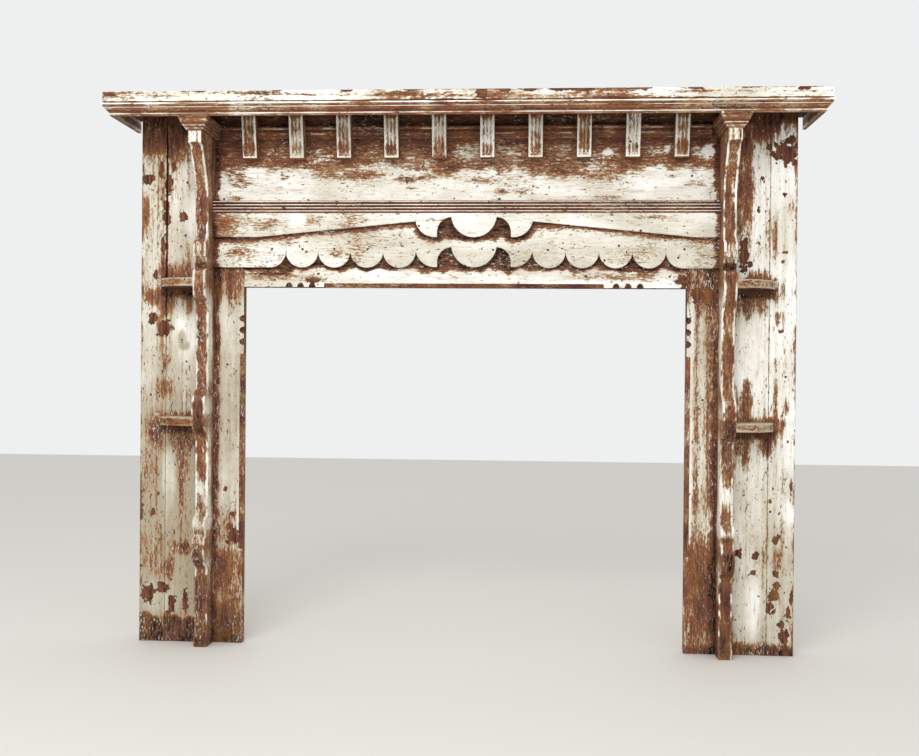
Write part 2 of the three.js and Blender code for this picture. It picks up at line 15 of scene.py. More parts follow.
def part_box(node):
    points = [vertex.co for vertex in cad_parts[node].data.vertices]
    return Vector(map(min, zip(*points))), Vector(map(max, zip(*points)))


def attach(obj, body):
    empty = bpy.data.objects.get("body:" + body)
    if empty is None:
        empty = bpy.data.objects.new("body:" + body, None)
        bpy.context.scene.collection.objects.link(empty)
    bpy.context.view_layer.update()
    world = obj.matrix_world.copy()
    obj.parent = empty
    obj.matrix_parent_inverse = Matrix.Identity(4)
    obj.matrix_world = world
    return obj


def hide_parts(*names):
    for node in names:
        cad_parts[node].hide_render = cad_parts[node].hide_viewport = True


bl_info = {
    "name": "Painted Mantelpiece",
    "version": (1, 0, 0),
    "blender": (4, 5, 0),
    "location": "View3D > Sidebar > Mantelpiece",
    "description": "Builds a worn painted mantelpiece over its CAD model",
    "category": "Add Mesh",
}

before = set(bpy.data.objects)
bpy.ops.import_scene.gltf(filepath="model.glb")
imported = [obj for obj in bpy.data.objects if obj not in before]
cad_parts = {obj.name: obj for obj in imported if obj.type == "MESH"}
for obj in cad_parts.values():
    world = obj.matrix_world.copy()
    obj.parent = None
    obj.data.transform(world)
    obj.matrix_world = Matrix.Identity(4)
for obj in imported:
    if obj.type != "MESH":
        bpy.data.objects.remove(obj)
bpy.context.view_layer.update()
BOARD_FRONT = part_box("lintel_board")[0][1]
SIDES = (("left", -1), ("right", 1))


def node_box(node):
    """Lowest and highest corner of a CAD node, in millimetres from the front of the boards."""
    low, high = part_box(node)
    shift = Vector((0, BOARD_FRONT, 0))
    return (Vector(low) - shift) * 1000, (Vector(high) - shift) * 1000


OPENING_TOP = node_box("lintel_board")[0].z
HALF_OPENING = node_box("lintel_board")[1].x
STILE_EDGE = node_box("inner_stile_right")[1].x
SOFFIT = node_box("shelf_board")[0].z
BLADE_HALF = (node_box("pilaster_right")[1].x - node_box("pilaster_right")[0].x) / 2
SHELF_TOPS = [node_box(f"corner_shelf_{level}_right")[1].z for level in ("upper", "lower")]
SHELF_THICKNESS = SHELF_TOPS[0] - node_box("corner_shelf_upper_right")[0].z

# The plain block at a pilaster's head: its height and how far it stands out.
HEAD_TALL = 95
HEAD_OUT = 127

# Where the chamfer round the fire opening stops: above the floor, and short of the opening's
# corner on the stiles and on the lintel.
FOOT_STOP = 243
STILE_STOP = 171
LINTEL_STOP = 206.5

# The frets: how far their pattern sits right of the middle, how far each one reaches down from
# its top, and the spacing of the points along their curves.
FRET_OFFSET = 28
FRET_DEPTH = {"upper": 61, "lower": 136}
FRET_DETAIL = 1.6

# Wear in the gouge cuts, where the wood is rubbed clean.
GOUGE_WEAR = 0.86

# The paint on each kind of piece: the material's name, the way of the grain, how strong the
# blotches, the streaks and the flecks are, and how much of the bared wood is ochre.
FINISHES = {
    "boards": ("Painted pine, grain across", "X", 0.5, 0.4, 1.15, 0.25),
    "legs": ("Painted pine, grain upright", "Z", 0.6, 0.5, 0.95, 0.6),
    "mouldings": ("Painted moulding, grain across", "X", 0.35, 0.35, 0.55, 0.35),
    "carvings": ("Painted carving, grain upright", "Z", 0.5, 0.4, 0.85, 0.5),
    "corner shelves": ("Painted shelf, grain across", "X", 0.4, 0.5, 0.6, 0.35),
}

# The camera fitted to the photograph: its place in millimetres, its turns in radians, and its
# focal length and the picture's width and height in pixels.
CAMERA_PLACE = (173.1, -2801.4, 707.0)
YAW, PITCH, ROLL = -0.064, -0.006, 0.0085
FOCAL_LENGTH = 1100
PICTURE = (919, 756)
PIXELS_PER_MILLIMETRE = 0.3927

# Places on the legs, read on enlarged crops of the photograph. Each crop has the pixel of its upper left
# corner and its enlargement. Each place has its centre, right and down, and half its width and height, in
# the crop's own pixels.
READINGS = [
    ((130, 110, 8.25), {
        "chips": [
            (150, 570, 55, 50), (263, 480, 22, 75), (362, 475, 16, 40), (322, 620, 35, 90),
            (300, 790, 28, 50), (305, 900, 32, 65), (443, 880, 35, 42), (275, 1130, 22, 90),
            (210, 1370, 18, 50),
        ],
        "stains": [
            (275, 1290, 25, 100), (130, 850, 25, 110), (400, 1330, 110, 70), (180, 250, 110, 120),
            (400, 230, 80, 200),
        ],
    }),
    ((130, 290, 8.7), {
        "chips": [
            (200, 255, 45, 55), (300, 330, 72, 72),
        ],
        "stains": [
            (315, 630, 25, 80), (320, 840, 60, 90), (210, 1200, 60, 130), (420, 1320, 150, 90),
            (445, 1450, 50, 180), (490, 130, 50, 120), (330, 90, 60, 100), (220, 60, 70, 60),
        ],
    }),
    ((130, 460, 8.25), {
        "chips": [
            (155, 1095, 60, 78), (275, 1050, 45, 50), (350, 1160, 35, 50), (330, 1225, 30, 38),
            (455, 1150, 25, 90), (235, 275, 14, 24), (185, 430, 18, 35), (95, 430, 22, 60),
            (85, 870, 12, 20), (80, 240, 12, 50), (790, 240, 18, 28), (850, 440, 28, 18),
            (820, 540, 28, 22), (855, 620, 52, 60), (810, 680, 20, 22),
        ],
        "stains": [
            (420, 200, 30, 260), (430, 720, 90, 50), (320, 880, 50, 80), (780, 900, 50, 140),
            (790, 1360, 140, 150),
        ],
    }),
    ((730, 110, 8.25), {
        "chips": [
            (450, 350, 90, 85), (325, 305, 22, 30), (385, 440, 14, 16), (458, 450, 20, 22),
            (530, 430, 22, 28), (500, 250, 40, 35), (270, 580, 24, 36), (455, 695, 16, 16),
            (235, 820, 12, 26), (465, 1175, 25, 14), (440, 1245, 16, 16), (110, 1200, 38, 150),
            (165, 1265, 25, 30),
        ],
        "stains": [
            (370, 1050, 18, 200), (395, 1490, 50, 90), (140, 300, 50, 180), (260, 180, 110, 70),
            (240, 1380, 80, 50),
        ],
    }),
    ((730, 290, 8.7), {
        "chips": [
            (445, 360, 28, 20),
        ],
        "stains": [
            (150, 120, 110, 110), (270, 130, 60, 90), (415, 50, 45, 60), (425, 250, 30, 60),
            (395, 640, 20, 40), (400, 930, 26, 200), (400, 1190, 50, 110), (470, 1170, 30, 40),
            (500, 1020, 20, 60), (120, 1000, 70, 150), (150, 840, 35, 60), (110, 1380, 60, 180),
            (320, 1350, 60, 90),
        ],
    }),
    ((680, 460, 7.65), {
        "chips": [
            (445, 720, 28, 38), (575, 735, 26, 38), (560, 860, 20, 22), (740, 610, 25, 38),
            (730, 870, 24, 24), (735, 960, 28, 28), (710, 1040, 45, 42), (680, 1130, 28, 35),
            (715, 1165, 20, 22), (780, 1260, 28, 30), (790, 1350, 42, 60), (830, 1180, 22, 50),
            (850, 1060, 12, 50), (850, 200, 10, 60), (713, 222, 9, 18), (690, 322, 10, 14),
            (690, 395, 8, 14),
        ],
        "stains": [
            (600, 1440, 220, 40), (745, 780, 28, 70), (150, 1000, 130, 300),
        ],
        "daubs": [
            (840, 400, 50, 80), (560, 1150, 55, 190),
        ],
    }),
]


def camera_axes():
    """The camera's directions: right, up and ahead."""
    ahead = Vector((math.sin(YAW) * math.cos(PITCH), math.cos(YAW) * math.cos(PITCH),
                    math.sin(PITCH)))
    across = Vector((math.cos(YAW), -math.sin(YAW), 0))
    up = across.cross(ahead)
    right = math.cos(ROLL) * across + math.sin(ROLL) * up
    top = math.cos(ROLL) * up - math.sin(ROLL) * across
    return right, top, ahead


def on_boards(pixel_x, pixel_y):
    """The place on the boards' front, in millimetres, that a pixel of the picture shows."""
    right, top, ahead = camera_axes()
    ray = ahead + (pixel_x - PICTURE[0] / 2) / FOCAL_LENGTH * right
    ray -= (pixel_y - PICTURE[1] / 2) / FOCAL_LENGTH * top
    place = Vector(CAMERA_PLACE) - ray * (CAMERA_PLACE[1] / ray.y)
    return round(place.x), round(place.z)


def read_patches(kind):
    """The places of one kind in the readings: centre x, centre z, half width, half height."""
    patches = []
    for (left, top, zoom), kinds in READINGS:
        for x, y, half_x, half_y in kinds.get(kind, []):
            scale = zoom * PIXELS_PER_MILLIMETRE
            centre = on_boards(left + x / zoom, top + y / zoom)
            patches.append((*centre, round(half_x / scale), round(half_y / scale)))
    return patches


# Places where paint is gone from the boards' fronts: centre x, centre z, half width, half height.
CHIPS = read_patches("chips") + [
    (556, 941, 16, 20), (-385, 938, 20, 7), (-499, 955, 40, 5), (620, 900, 14, 22), (590, 905, 14, 18),
]

# Softer brown stains, where the paint is rubbed thin.
STAINS = read_patches("stains") + [
    (821, 1125, 9, 22), (703, 1135, 24, 110), (-352, 1205, 45, 8), (-461, 1201, 12, 4),
    (-584, 1197, 30, 16), (-423, 1162, 15, 3), (-589, 1149, 15, 6), (-272, 1210, 40, 7),
    (-139, 1196, 28, 9), (-103, 1199, 30, 8), (-26, 1202, 30, 3), (26, 1193, 40, 7), (-37, 1219, 20, 12),
    (93, 1165, 22, 6), (-134, 1172, 18, 5), (329, 1209, 90, 14), (378, 1219, 40, 16), (150, 1162, 20, 9),
    (580, 1181, 28, 10), (269, 1150, 18, 4), (364, 1149, 45, 6), (622, 1159, 14, 6), (531, 1203, 12, 4),
    (-619, 1077, 24, 25), (-508, 1077, 30, 14), (-385, 1090, 20, 10), (-572, 1007, 28, 8),
    (-455, 1033, 14, 5), (-330, 1005, 14, 6), (-499, 953, 60, 11), (-385, 938, 28, 11),
    (388, 949, 52, 10), (453, 952, 36, 10), (310, 950, 42, 7), (556, 940, 22, 24), (600, 1016, 24, 36),
    (480, 1098, 60, 6), (-70, 1090, 50, 6),
]

# White places: fresh paint daubed over the brown.
DAUBS = read_patches("daubs") + [
    (365, 1265, 11, 7), (513, 1273, 6, 8), (618, 1266, 13, 13), (-423, 1087, 18, 20),
    (-230, 955, 60, 12), (300, 932, 120, 7), (-540, 1215, 20, 8), (-722, 800, 26, 66),
    (-762, 400, 22, 100), (-796, 112, 34, 46), (-700, 1100, 20, 60),
]

# Chips along the front of the shelf, in the same way.
SHELF_CHIPS = [
    (-278, 1387, 17, 4), (50, 1377, 14, 12), (108, 1386, 15, 6), (162, 1386, 17, 6),
    (240, 1387, 26, 5), (290, 1386, 28, 6), (-868, 1381, 12, 5), (-640, 1388, 20, 3),
    (-450, 1388, 16, 3), (-120, 1388, 22, 3), (430, 1388, 34, 4), (560, 1387, 20, 4),
    (690, 1388, 30, 3), (815, 1385, 18, 5), (362, 1366, 16, 3),
]

# Tan filler over old damage.
FILLER = [(-728, 786, 11, 22), (-722, 768, 14, 12)]


class MantelSizes(bpy.types.PropertyGroup):
    """Sizes that the dressed mantelpiece is drawn with."""

    grid: bpy.props.FloatProperty(
        name="Grid", description="Spacing of the points over a board's face",
        default=0.004, unit="LENGTH")
    eased_arris: bpy.props.FloatProperty(
        name="Eased arris", description="Rounding of a board's edge where it is least worn",
        default=0.0012, unit="LENGTH")
    worn_arris: bpy.props.FloatProperty(
        name="Worn arris", description="Extra depth of the nicks along a board's edge",
        default=0.0045, unit="LENGTH")
    chamfer: bpy.props.FloatProperty(
        name="Chamfer", description="Stopped chamfer round the fire opening",
        default=0.011, unit="LENGTH")
    gouge_radius: bpy.props.FloatProperty(
        name="Gouge radius", description="Radius of the gouge cuts beyond each chamfer",
        default=0.009, unit="LENGTH")
    gouge_pitch: bpy.props.FloatProperty(
        name="Gouge pitch", description="Distance between the gouge cuts",
        default=0.030, unit="LENGTH")
    panel_crack: bpy.props.FloatProperty(
        name="Open joint", description="Widest gap between the boards of the left leg",
        default=0.005, unit="LENGTH")
    flute_depth: bpy.props.FloatProperty(
        name="Flute depth", description="Depth of the flutes down the pilasters",
        default=0.0014, unit="LENGTH")
    flute_width: bpy.props.FloatProperty(
        name="Flute width", description="Width of one flute",
        default=0.006, unit="LENGTH")
    flute_land: bpy.props.FloatProperty(
        name="Flute land", description="Flat between two flutes",
        default=0.003, unit="LENGTH")
    nail_head: bpy.props.FloatProperty(
        name="Nail head", description="Diameter of a nail head",
        default=0.0062, unit="LENGTH")
    paint_depth: bpy.props.FloatProperty(
        name="Paint depth", description="Height of the paint's broken edge in the bump",
        default=0.0009, unit="LENGTH")


def to_linear(code):
    """Linear colour, with alpha, of an sRGB hex value."""
    channels = [int(code[i:i + 2], 16) / 255 for i in (0, 2, 4)]
    return tuple(c / 12.92 if c <= 0.04045 else ((c + 0.055) / 1.055) ** 2.4 for c in channels) + (1.0,)


def colour_property(label, description, code):
    """A colour of the palette, with an sRGB hex value as its default."""
    return bpy.props.FloatVectorProperty(
        name=label, description=description, subtype="COLOR", size=4, min=0, max=1,
        default=to_linear(code))


class MantelColours(bpy.types.PropertyGroup):
    """Colours of the paint layers and the wood."""

    white: colour_property("White paint", "Newest coat, where it is clean", "f6f4ee")
    cream: colour_property("Cream paint", "Older coat, yellowed", "d6d0c1")
    drab: colour_property("Drab paint", "Grimy older coat and filler", "ada28c")
    tan: colour_property("Tan wash", "Paint rubbed down to a film", "ae8a5f")
    brown: colour_property("Brown undercoat", "Red-brown undercoat", "8e5538")
    purple: colour_property("Dark undercoat", "Purple-brown undercoat where dirt holds", "6d473c")
    # Dirt, and also the painted shade under the shelf, under the corner shelves and at the top of the bed
    # moulding.
    dirt_and_shade: colour_property("Dirt and shade", "Dirt in corners and joints", "1e110a")
    ochre: colour_property("Aged pine", "Bare aged pine", "8a5f2c")
    primer: colour_property("Primer", "Red-brown primer, where the paint has flaked off", "643d2d")
    back: colour_property("Unpainted pine", "Sawn wood behind the boards", "a5805a")
    iron: colour_property("Iron", "Rusted nail heads", "4a3a32")
    floor: colour_property("Floor", "Studio floor", "d6d3cc")


def millimetres(name):
    """One of the sizes, in millimetres."""
    return getattr(bpy.context.scene.mantel_sizes, name) * 1000


def palette(name):
    """One of the colours, linear and with alpha."""
    return tuple(getattr(bpy.context.scene.mantel_colours, name))


def add_node(tree, kind, inputs=None, **settings):
    """Adds a shader node with its settings, and its inputs as values or linked sockets."""
    node = tree.nodes.new("ShaderNode" + kind)
    for key, value in settings.items():
        setattr(node, key, value)
    for socket, value in (inputs or {}).items():
        if isinstance(value, bpy.types.NodeSocket):
            tree.links.new(value, node.inputs[socket])
        else:
            node.inputs[socket].default_value = value
    return node


def empty_material(name):
    """A new material with an empty node tree, the tree, and the object's own coordinates."""
    material = bpy.data.materials.new(name)
    material.use_nodes = True
    tree = material.node_tree
    tree.nodes.clear()
    return material, tree, add_node(tree, "TexCoord").outputs["Object"]


def set_stops(ramp, stops):
    """Gives a colour ramp its stops, each a position and a colour."""
    elements = ramp.color_ramp.elements
    while len(elements) > 1:
        elements.remove(elements[-1])
    elements[0].position, elements[0].color = stops[0]
    for place, colour in stops[1:]:
        elements.new(place).color = colour


def painted_pine(finish):
    """Brush-painted softwood, worn through. The eye reads thin off-white paint that follows the
    grain, breaks off at sharp edges and shows a red-brown undercoat and ochre pine below."""
    name, grain, coarse_gain, streak_gain, fleck_gain, ochre = FINISHES[finish]
    found = bpy.data.materials.get(name)
    if found:
        return found
    material, tree, place = empty_material(name)
    # Streaks and cracks run about 12 times as far along the grain as across it, patches 3 times.
    long_grain = [0.08 if axis == grain else 1.0 for axis in "XYZ"]
    short_grain = [0.35 if axis == grain else 1.0 for axis in "XYZ"]
    along = add_node(tree, "Mapping", {"Vector": place, "Scale": long_grain}).outputs[0]
    patchy = add_node(tree, "Mapping", {"Vector": place, "Scale": short_grain}).outputs[0]
    # Blotches 55 mm across, brush streaks 3 mm wide, flecks 4 mm, the ragged edges of chips 14 mm
    # and a 1.2 mm grit.
    coarse = add_node(tree, "TexNoise", {"Vector": patchy, "Scale": 18.0, "Detail": 3.0}).outputs[0]
    streak = add_node(tree, "TexNoise", {"Vector": along, "Scale": 330.0, "Detail": 3.0}).outputs[0]
    fleck = add_node(tree, "TexNoise", {
        "Vector": patchy, "Scale": 240.0, "Detail": 5.0, "Roughness": 0.72}).outputs[0]
    ragged = add_node(tree, "TexNoise", {
        "Vector": place, "Scale": 72.0, "Detail": 5.0, "Roughness": 0.6}).outputs[0]
    grit = add_node(tree, "TexNoise", {"Vector": place, "Scale": 800.0, "Detail": 1.0}).outputs[0]
    # This value is the wear, with painted shade and painted highlights added to it on some pieces.
    wear = add_node(tree, "Attribute", attribute_name="wear").outputs["Fac"]
    chip = add_node(tree, "Attribute", attribute_name="chip").outputs["Fac"]
    level = add_node(tree, "Math", {0: fleck, 1: fleck_gain, 2: -0.5 * (fleck_gain + streak_gain)},
                     operation="MULTIPLY_ADD").outputs[0]
    level = add_node(tree, "Math", {0: streak, 1: streak_gain, 2: level},
                     operation="MULTIPLY_ADD").outputs[0]
    # Sound paint is calm, and the worn places are speckled.
    loose = add_node(tree, "MapRange", {
        "Value": wear, "From Min": 0.3, "From Max": 0.55, "To Min": 0.5, "To Max": 1.0}).outputs[0]
    level = add_node(tree, "Math", {0: level, 1: loose, 2: wear},
                     operation="MULTIPLY_ADD").outputs[0]
    blotch = add_node(tree, "Math", {0: coarse, 1: -0.5}, operation="ADD").outputs[0]
    level = add_node(tree, "Math", {0: blotch, 1: coarse_gain, 2: level},
                     operation="MULTIPLY_ADD").outputs[0]
    # Sound paint yellows in clouds 90 mm across, and more next to the worn places.
    age = add_node(tree, "Attribute", attribute_name="aged").outputs["Fac"]
    cloud = add_node(tree, "TexNoise", {
        "Vector": patchy, "Scale": 11.0, "Detail": 5.0, "Roughness": 0.6}).outputs[0]
    age = add_node(tree, "Math", {0: level, 1: 1.0, 2: age}, operation="MULTIPLY_ADD").outputs[0]
    age = add_node(tree, "Math", {0: cloud, 1: 2.4, 2: age}, operation="MULTIPLY_ADD").outputs[0]
    sound = add_node(tree, "ValToRGB", {
        "Fac": add_node(tree, "MapRange", {"Value": age, "From Min": 1.4, "From Max": 2.55}).outputs[0]})
    set_stops(sound, [(0.0, palette("white")), (0.45, palette("cream")), (1.0, palette("drab"))])
    ramp = add_node(tree, "ValToRGB", {"Fac": level})
    set_stops(ramp, [
        (0.42, palette("drab")), (0.50, palette("tan")), (0.55, palette("brown")),
        (0.72, palette("purple")), (0.97, palette("dirt_and_shade"))])
    # The bared wood runs from red-brown to ochre in patches 30 mm across.
    mottle = add_node(tree, "TexNoise", {
        "Vector": patchy, "Scale": 34.0, "Detail": 4.0, "Roughness": 0.65}).outputs[0]
    warm = add_node(tree, "MapRange", {
        "Value": mottle, "From Min": 0.48, "From Max": 0.66, "To Max": ochre}).outputs[0]
    warm = add_node(tree, "Mix", {
        "Factor": warm, 6: ramp.outputs[0], 7: palette("ochre")}, data_type="RGBA").outputs[2]
    sooty = add_node(tree, "MapRange", {
        "Value": mottle, "From Min": 0.30, "From Max": 0.46, "To Min": 0.55, "To Max": 0.0}).outputs[0]
    worn = add_node(tree, "Mix", {
        "Factor": sooty, 6: warm, 7: palette("dirt_and_shade")}, data_type="RGBA").outputs[2]
    rubbed = add_node(tree, "MapRange", {
        "Value": level, "From Min": 0.38, "From Max": 0.46}).outputs[0]
    paint = add_node(tree, "Mix", {
        "Factor": rubbed, 6: sound.outputs[0], 7: worn}, data_type="RGBA").outputs[2]
    # A chip breaks off where its own value and the ragged pattern come to enough together.
    chip_gain = 2.9
    edge = add_node(tree, "Math", {0: ragged, 1: chip_gain, 2: chip},
                    operation="MULTIPLY_ADD").outputs[0]
    # Inside a chip the primer is streaked, and worn to the pine here and there.
    bare = add_node(tree, "ValToRGB", {"Fac": streak})
    set_stops(bare, [(0.30, palette("dirt_and_shade")), (0.48, palette("primer")), (0.70, palette("brown"))])
    pine = add_node(tree, "MapRange", {
        "Value": cloud, "From Min": 0.54, "From Max": 0.64, "To Max": 0.5}).outputs[0]
    bare = add_node(tree, "Mix", {
        "Factor": pine, 6: bare.outputs[0], 7: palette("ochre")}, data_type="RGBA").outputs[2]
    broken = 0.5 + chip_gain / 2
    chipped = add_node(tree, "MapRange", {
        "Value": edge, "From Min": broken - 0.02, "From Max": broken + 0.03}).outputs[0]
    inside = add_node(tree, "MapRange", {
        "Value": edge, "From Min": broken, "From Max": broken + 0.14}).outputs[0]
    shaded = add_node(tree, "Mix", {
        "Factor": inside, 6: palette("dirt_and_shade"), 7: bare}, data_type="RGBA").outputs[2]
    gone = add_node(tree, "MapRange", {
        "Value": level, "From Min": 0.46, "From Max": 0.56}).outputs[0]
    # Pinhead chips through the sound paint, the peaks of a 5 mm pattern, more where it is worn.
    pin = add_node(tree, "TexNoise", {
        "Vector": patchy, "Scale": 210.0, "Detail": 2.5, "Roughness": 0.6}).outputs[0]
    pin = add_node(tree, "Math", {0: level, 1: 0.16, 2: pin}, operation="MULTIPLY_ADD").outputs[0]
    pits = add_node(tree, "MapRange", {"Value": pin, "From Min": 0.705, "From Max": 0.725}).outputs[0]
    # Flecks of paint still held by the undercoat, the peaks of a 4 mm pattern.
    held = add_node(tree, "TexNoise", {
        "Vector": patchy, "Scale": 230.0, "Detail": 5.0, "Roughness": 0.75}).outputs[0]
    held = add_node(tree, "Math", {0: cloud, 1: 0.45, 2: held}, operation="MULTIPLY_ADD").outputs[0]
    held = add_node(tree, "MapRange", {
        "Value": held, "From Min": 0.82, "From Max": 0.875, "To Max": 0.85}).outputs[0]
    held = add_node(tree, "Math", {0: held, 1: gone}, operation="MULTIPLY").outputs[0]
    # Hairline cracks along the grain, where a 14 mm pattern crosses its middle value.
    crack = add_node(tree, "TexNoise", {"Vector": along, "Scale": 70.0, "Detail": 2.0}).outputs[0]
    crack = add_node(tree, "Math", {0: crack, 1: 0.5}, operation="SUBTRACT").outputs[0]
    crack = add_node(tree, "Math", {0: crack}, operation="ABSOLUTE").outputs[0]
    crack = add_node(tree, "MapRange", {
        "Value": crack, "From Min": 0.003, "From Max": 0.012, "To Min": 0.55, "To Max": 0.0}).outputs[0]
    mixed = paint
    for mask, layer in ((crack, palette("tan")), (held, palette("cream")),
                        (pits, palette("primer")), (chipped, shaded)):
        mixed = add_node(tree, "Mix", {"Factor": mask, 6: mixed, 7: layer},
                         data_type="RGBA").outputs[2]
    tint = add_node(tree, "MapRange", {
        "Value": grit, "From Min": 0.3, "From Max": 0.7, "To Min": 0.86, "To Max": 1.08}).outputs[0]
    colour = add_node(tree, "Mix", {"Factor": 1.0, 6: mixed, 7: tint}, data_type="RGBA",
                      blend_type="MULTIPLY").outputs[2]
    lost = add_node(tree, "Math", {0: gone, 1: chipped}, operation="MAXIMUM").outputs[0]
    lost = add_node(tree, "Math", {0: lost, 1: pits}, operation="MAXIMUM").outputs[0]
    rough = add_node(tree, "MapRange", {
        "Value": lost, "To Min": 0.46, "To Max": 0.74}).outputs[0]
    film = add_node(tree, "Math", {0: lost, 1: -1.0, 2: 1.0}, operation="MULTIPLY_ADD").outputs[0]
    height = add_node(tree, "Math", {0: streak, 1: 0.7, 2: film},
                      operation="MULTIPLY_ADD").outputs[0]
    height = add_node(tree, "Math", {0: grit, 1: 0.25, 2: height},
                      operation="MULTIPLY_ADD").outputs[0]
    bump = add_node(tree, "Bump", {
        "Height": height, "Strength": 0.6,
        "Distance": bpy.context.scene.mantel_sizes.paint_depth}).outputs[0]
    # Chalky old paint and dry wood hardly shine, so they keep their depth of colour.
    shader = add_node(tree, "BsdfPrincipled", {
        "Base Color": colour, "Roughness": rough, "Normal": bump, "IOR": 1.48,
        "Specular IOR Level": 0.18})
    add_node(tree, "OutputMaterial", {"Surface": shader.outputs[0]})
    return material


def sawn_pine(grain):
    """Unpainted sawn pine, as left behind the boards: plain tan gone grey-brown, with growth lines
    and the saw's fine ridges."""
    name = f"Sawn pine, grain along {grain}"
    found = bpy.data.materials.get(name)
    if found:
        return found
    material, tree, place = empty_material(name)
    squeeze = [0.05 if axis == grain else 1.0 for axis in "XYZ"]
    along = add_node(tree, "Mapping", {"Vector": place, "Scale": squeeze}).outputs[0]
    # Growth lines 8 mm apart across the board, stains 120 mm wide, saw ridges 4 mm apart along it.
    growth = add_node(tree, "TexNoise", {
        "Vector": along, "Scale": 120.0, "Detail": 9.0, "Roughness": 0.72}).outputs[0]
    stain = add_node(tree, "TexNoise", {"Vector": place, "Scale": 8.0, "Detail": 5.0}).outputs[0]
    ridges = add_node(tree, "TexWave", {
        "Vector": place, "Scale": 80.0, "Distortion": 2.0}, bands_direction=grain).outputs["Fac"]
    faint = add_node(tree, "Math", {0: stain, 1: 0.35, 2: 0.33}, operation="MULTIPLY_ADD").outputs[0]
    level = add_node(tree, "Math", {0: growth, 1: 1.4, 2: faint},
                     operation="MULTIPLY_ADD").outputs[0]
    ramp = add_node(tree, "ValToRGB", {
        "Fac": add_node(tree, "MapRange", {"Value": level, "From Min": 0.85, "From Max": 1.6}).outputs[0]})
    set_stops(ramp, [(0.0, palette("brown")), (0.45, palette("back")), (1.0, palette("drab"))])
    height = add_node(tree, "Math", {0: ridges, 1: 0.4, 2: growth},
                      operation="MULTIPLY_ADD").outputs[0]
    bump = add_node(tree, "Bump", {"Height": height, "Strength": 0.5, "Distance": 0.0006}).outputs[0]
    shader = add_node(tree, "BsdfPrincipled", {
        "Base Color": ramp.outputs[0], "Roughness": 0.82, "Normal": bump})
    add_node(tree, "OutputMaterial", {"Surface": shader.outputs[0]})
    return material


def smooth(low, high, value):
    """0 at low, 1 at high, a smooth change between them and level beyond them."""
    t = np.clip((value - low) / (high - low), 0, 1)
    return t * t * (3 - 2 * t)


def wander(values, length, seed):
    """A slow wave of about -1 to 1 along one coordinate, the same on each run."""
    return np.array([noise.noise(Vector((v / length, seed, 0.5))) * 2 for v in values])


def near_patches(x, z, patches, reach=1.5):
    """1 inside the patches, half at their edge and falling to 0 outside them."""
    field = np.zeros(len(x))
    for centre_x, centre_z, half_x, half_z in patches:
        distance = np.hypot((x - centre_x) / half_x, (z - centre_z) / half_z)
        field = np.maximum(field, np.clip((reach - distance) / (2 * (reach - 1)), 0, 1))
    return field


def crest(mesh):
    """How far each point stands out from its neighbours: above 0 on arrises, below in hollows."""
    count = len(mesh.vertices)
    points = np.empty(count * 3)
    mesh.vertices.foreach_get("co", points)
    points = points.reshape(-1, 3)
    normals = np.empty(count * 3)
    mesh.vertex_normals.foreach_get("vector", normals)
    normals = normals.reshape(-1, 3)
    pairs = np.empty(len(mesh.edges) * 2, dtype=np.int64)
    mesh.edges.foreach_get("vertices", pairs)
    first, second = pairs.reshape(-1, 2).T
    step = points[second] - points[first]
    step /= np.maximum(np.linalg.norm(step, axis=1), 1e-9)[:, None]
    total = np.zeros(count)
    np.add.at(total, first, -(normals[first] * step).sum(axis=1))
    np.add.at(total, second, (normals[second] * step).sum(axis=1))
    joined = np.bincount(pairs, minlength=count)
    return total / np.maximum(joined, 1)


def chips_within(reach):
    """The chips that lie nearer the middle than the reach."""
    return [chip for chip in CHIPS if abs(chip[0]) < reach]


def add_piece(name, parts, material, nodes, wear_and_shading_at, chips=(), aged=0.15, back="Z"):
    """Makes one object of lofted parts and gives its points their wear with painted shade and painted
    highlight, their chips and their age. The paint begins to go at a value of 0.4. It is tan at 0.5, brown
    at 0.6 and nearly black at 0.9."""
    points = []
    faces = []
    for part_points, part_faces in parts:
        start = len(points)
        points.extend(part_points)
        faces.extend([tuple(start + i for i in face) for face in part_faces])
    mesh = bpy.data.meshes.new(name)
    mesh.from_pydata([(x / 1000, y / 1000 + BOARD_FRONT, z / 1000) for x, y, z in points], [], faces)
    work = bmesh.new()
    work.from_mesh(mesh)
    bmesh.ops.recalc_face_normals(work, faces=work.faces)
    work.to_mesh(mesh)
    work.free()
    mesh.materials.append(material)
    if back:
        mesh.materials.append(sawn_pine(back))
        for face in mesh.polygons:
            face.material_index = 1 if face.normal.y > 0.7 else 0
    mesh.shade_smooth()
    mesh.set_sharp_from_angle(angle=math.radians(32))
    x, y, z = np.array(points).T
    wear = wear_and_shading_at(x, y, z, crest(mesh))
    chip = chips(x, y, z) if callable(chips) else near_patches(x, z, chips)
    years = np.zeros(len(x)) + (aged(z) if callable(aged) else aged)
    years += 0.9 * near_patches(x, z, FILLER, 1.3) - 0.2 * near_patches(x, z, DAUBS, 1.6)
    for label, values in (("wear", wear), ("chip", chip), ("aged", years)):
        layer = mesh.attributes.new(label, "FLOAT", "POINT")
        layer.data.foreach_set("value", values.astype(np.float32))
    piece = bpy.data.objects.new(name, mesh)
    bpy.context.scene.collection.objects.link(piece)
    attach(piece, "root")
    if nodes:
        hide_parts(*nodes)


def loft(rings):
    """Points and faces of a solid through closed rings of equal length, with both ends closed."""
    size = len(rings[0])
    points = [point for ring in rings for point in ring]
    faces = []
    for i in range(len(rings) - 1):
        for j in range(size):
            k = (j + 1) % size
            faces.append((i * size + j, i * size + k, (i + 1) * size + k, (i + 1) * size + j))
    faces.append(tuple(range(size))[::-1])
    faces.append(tuple((len(rings) - 1) * size + j for j in range(size)))
    return points, faces


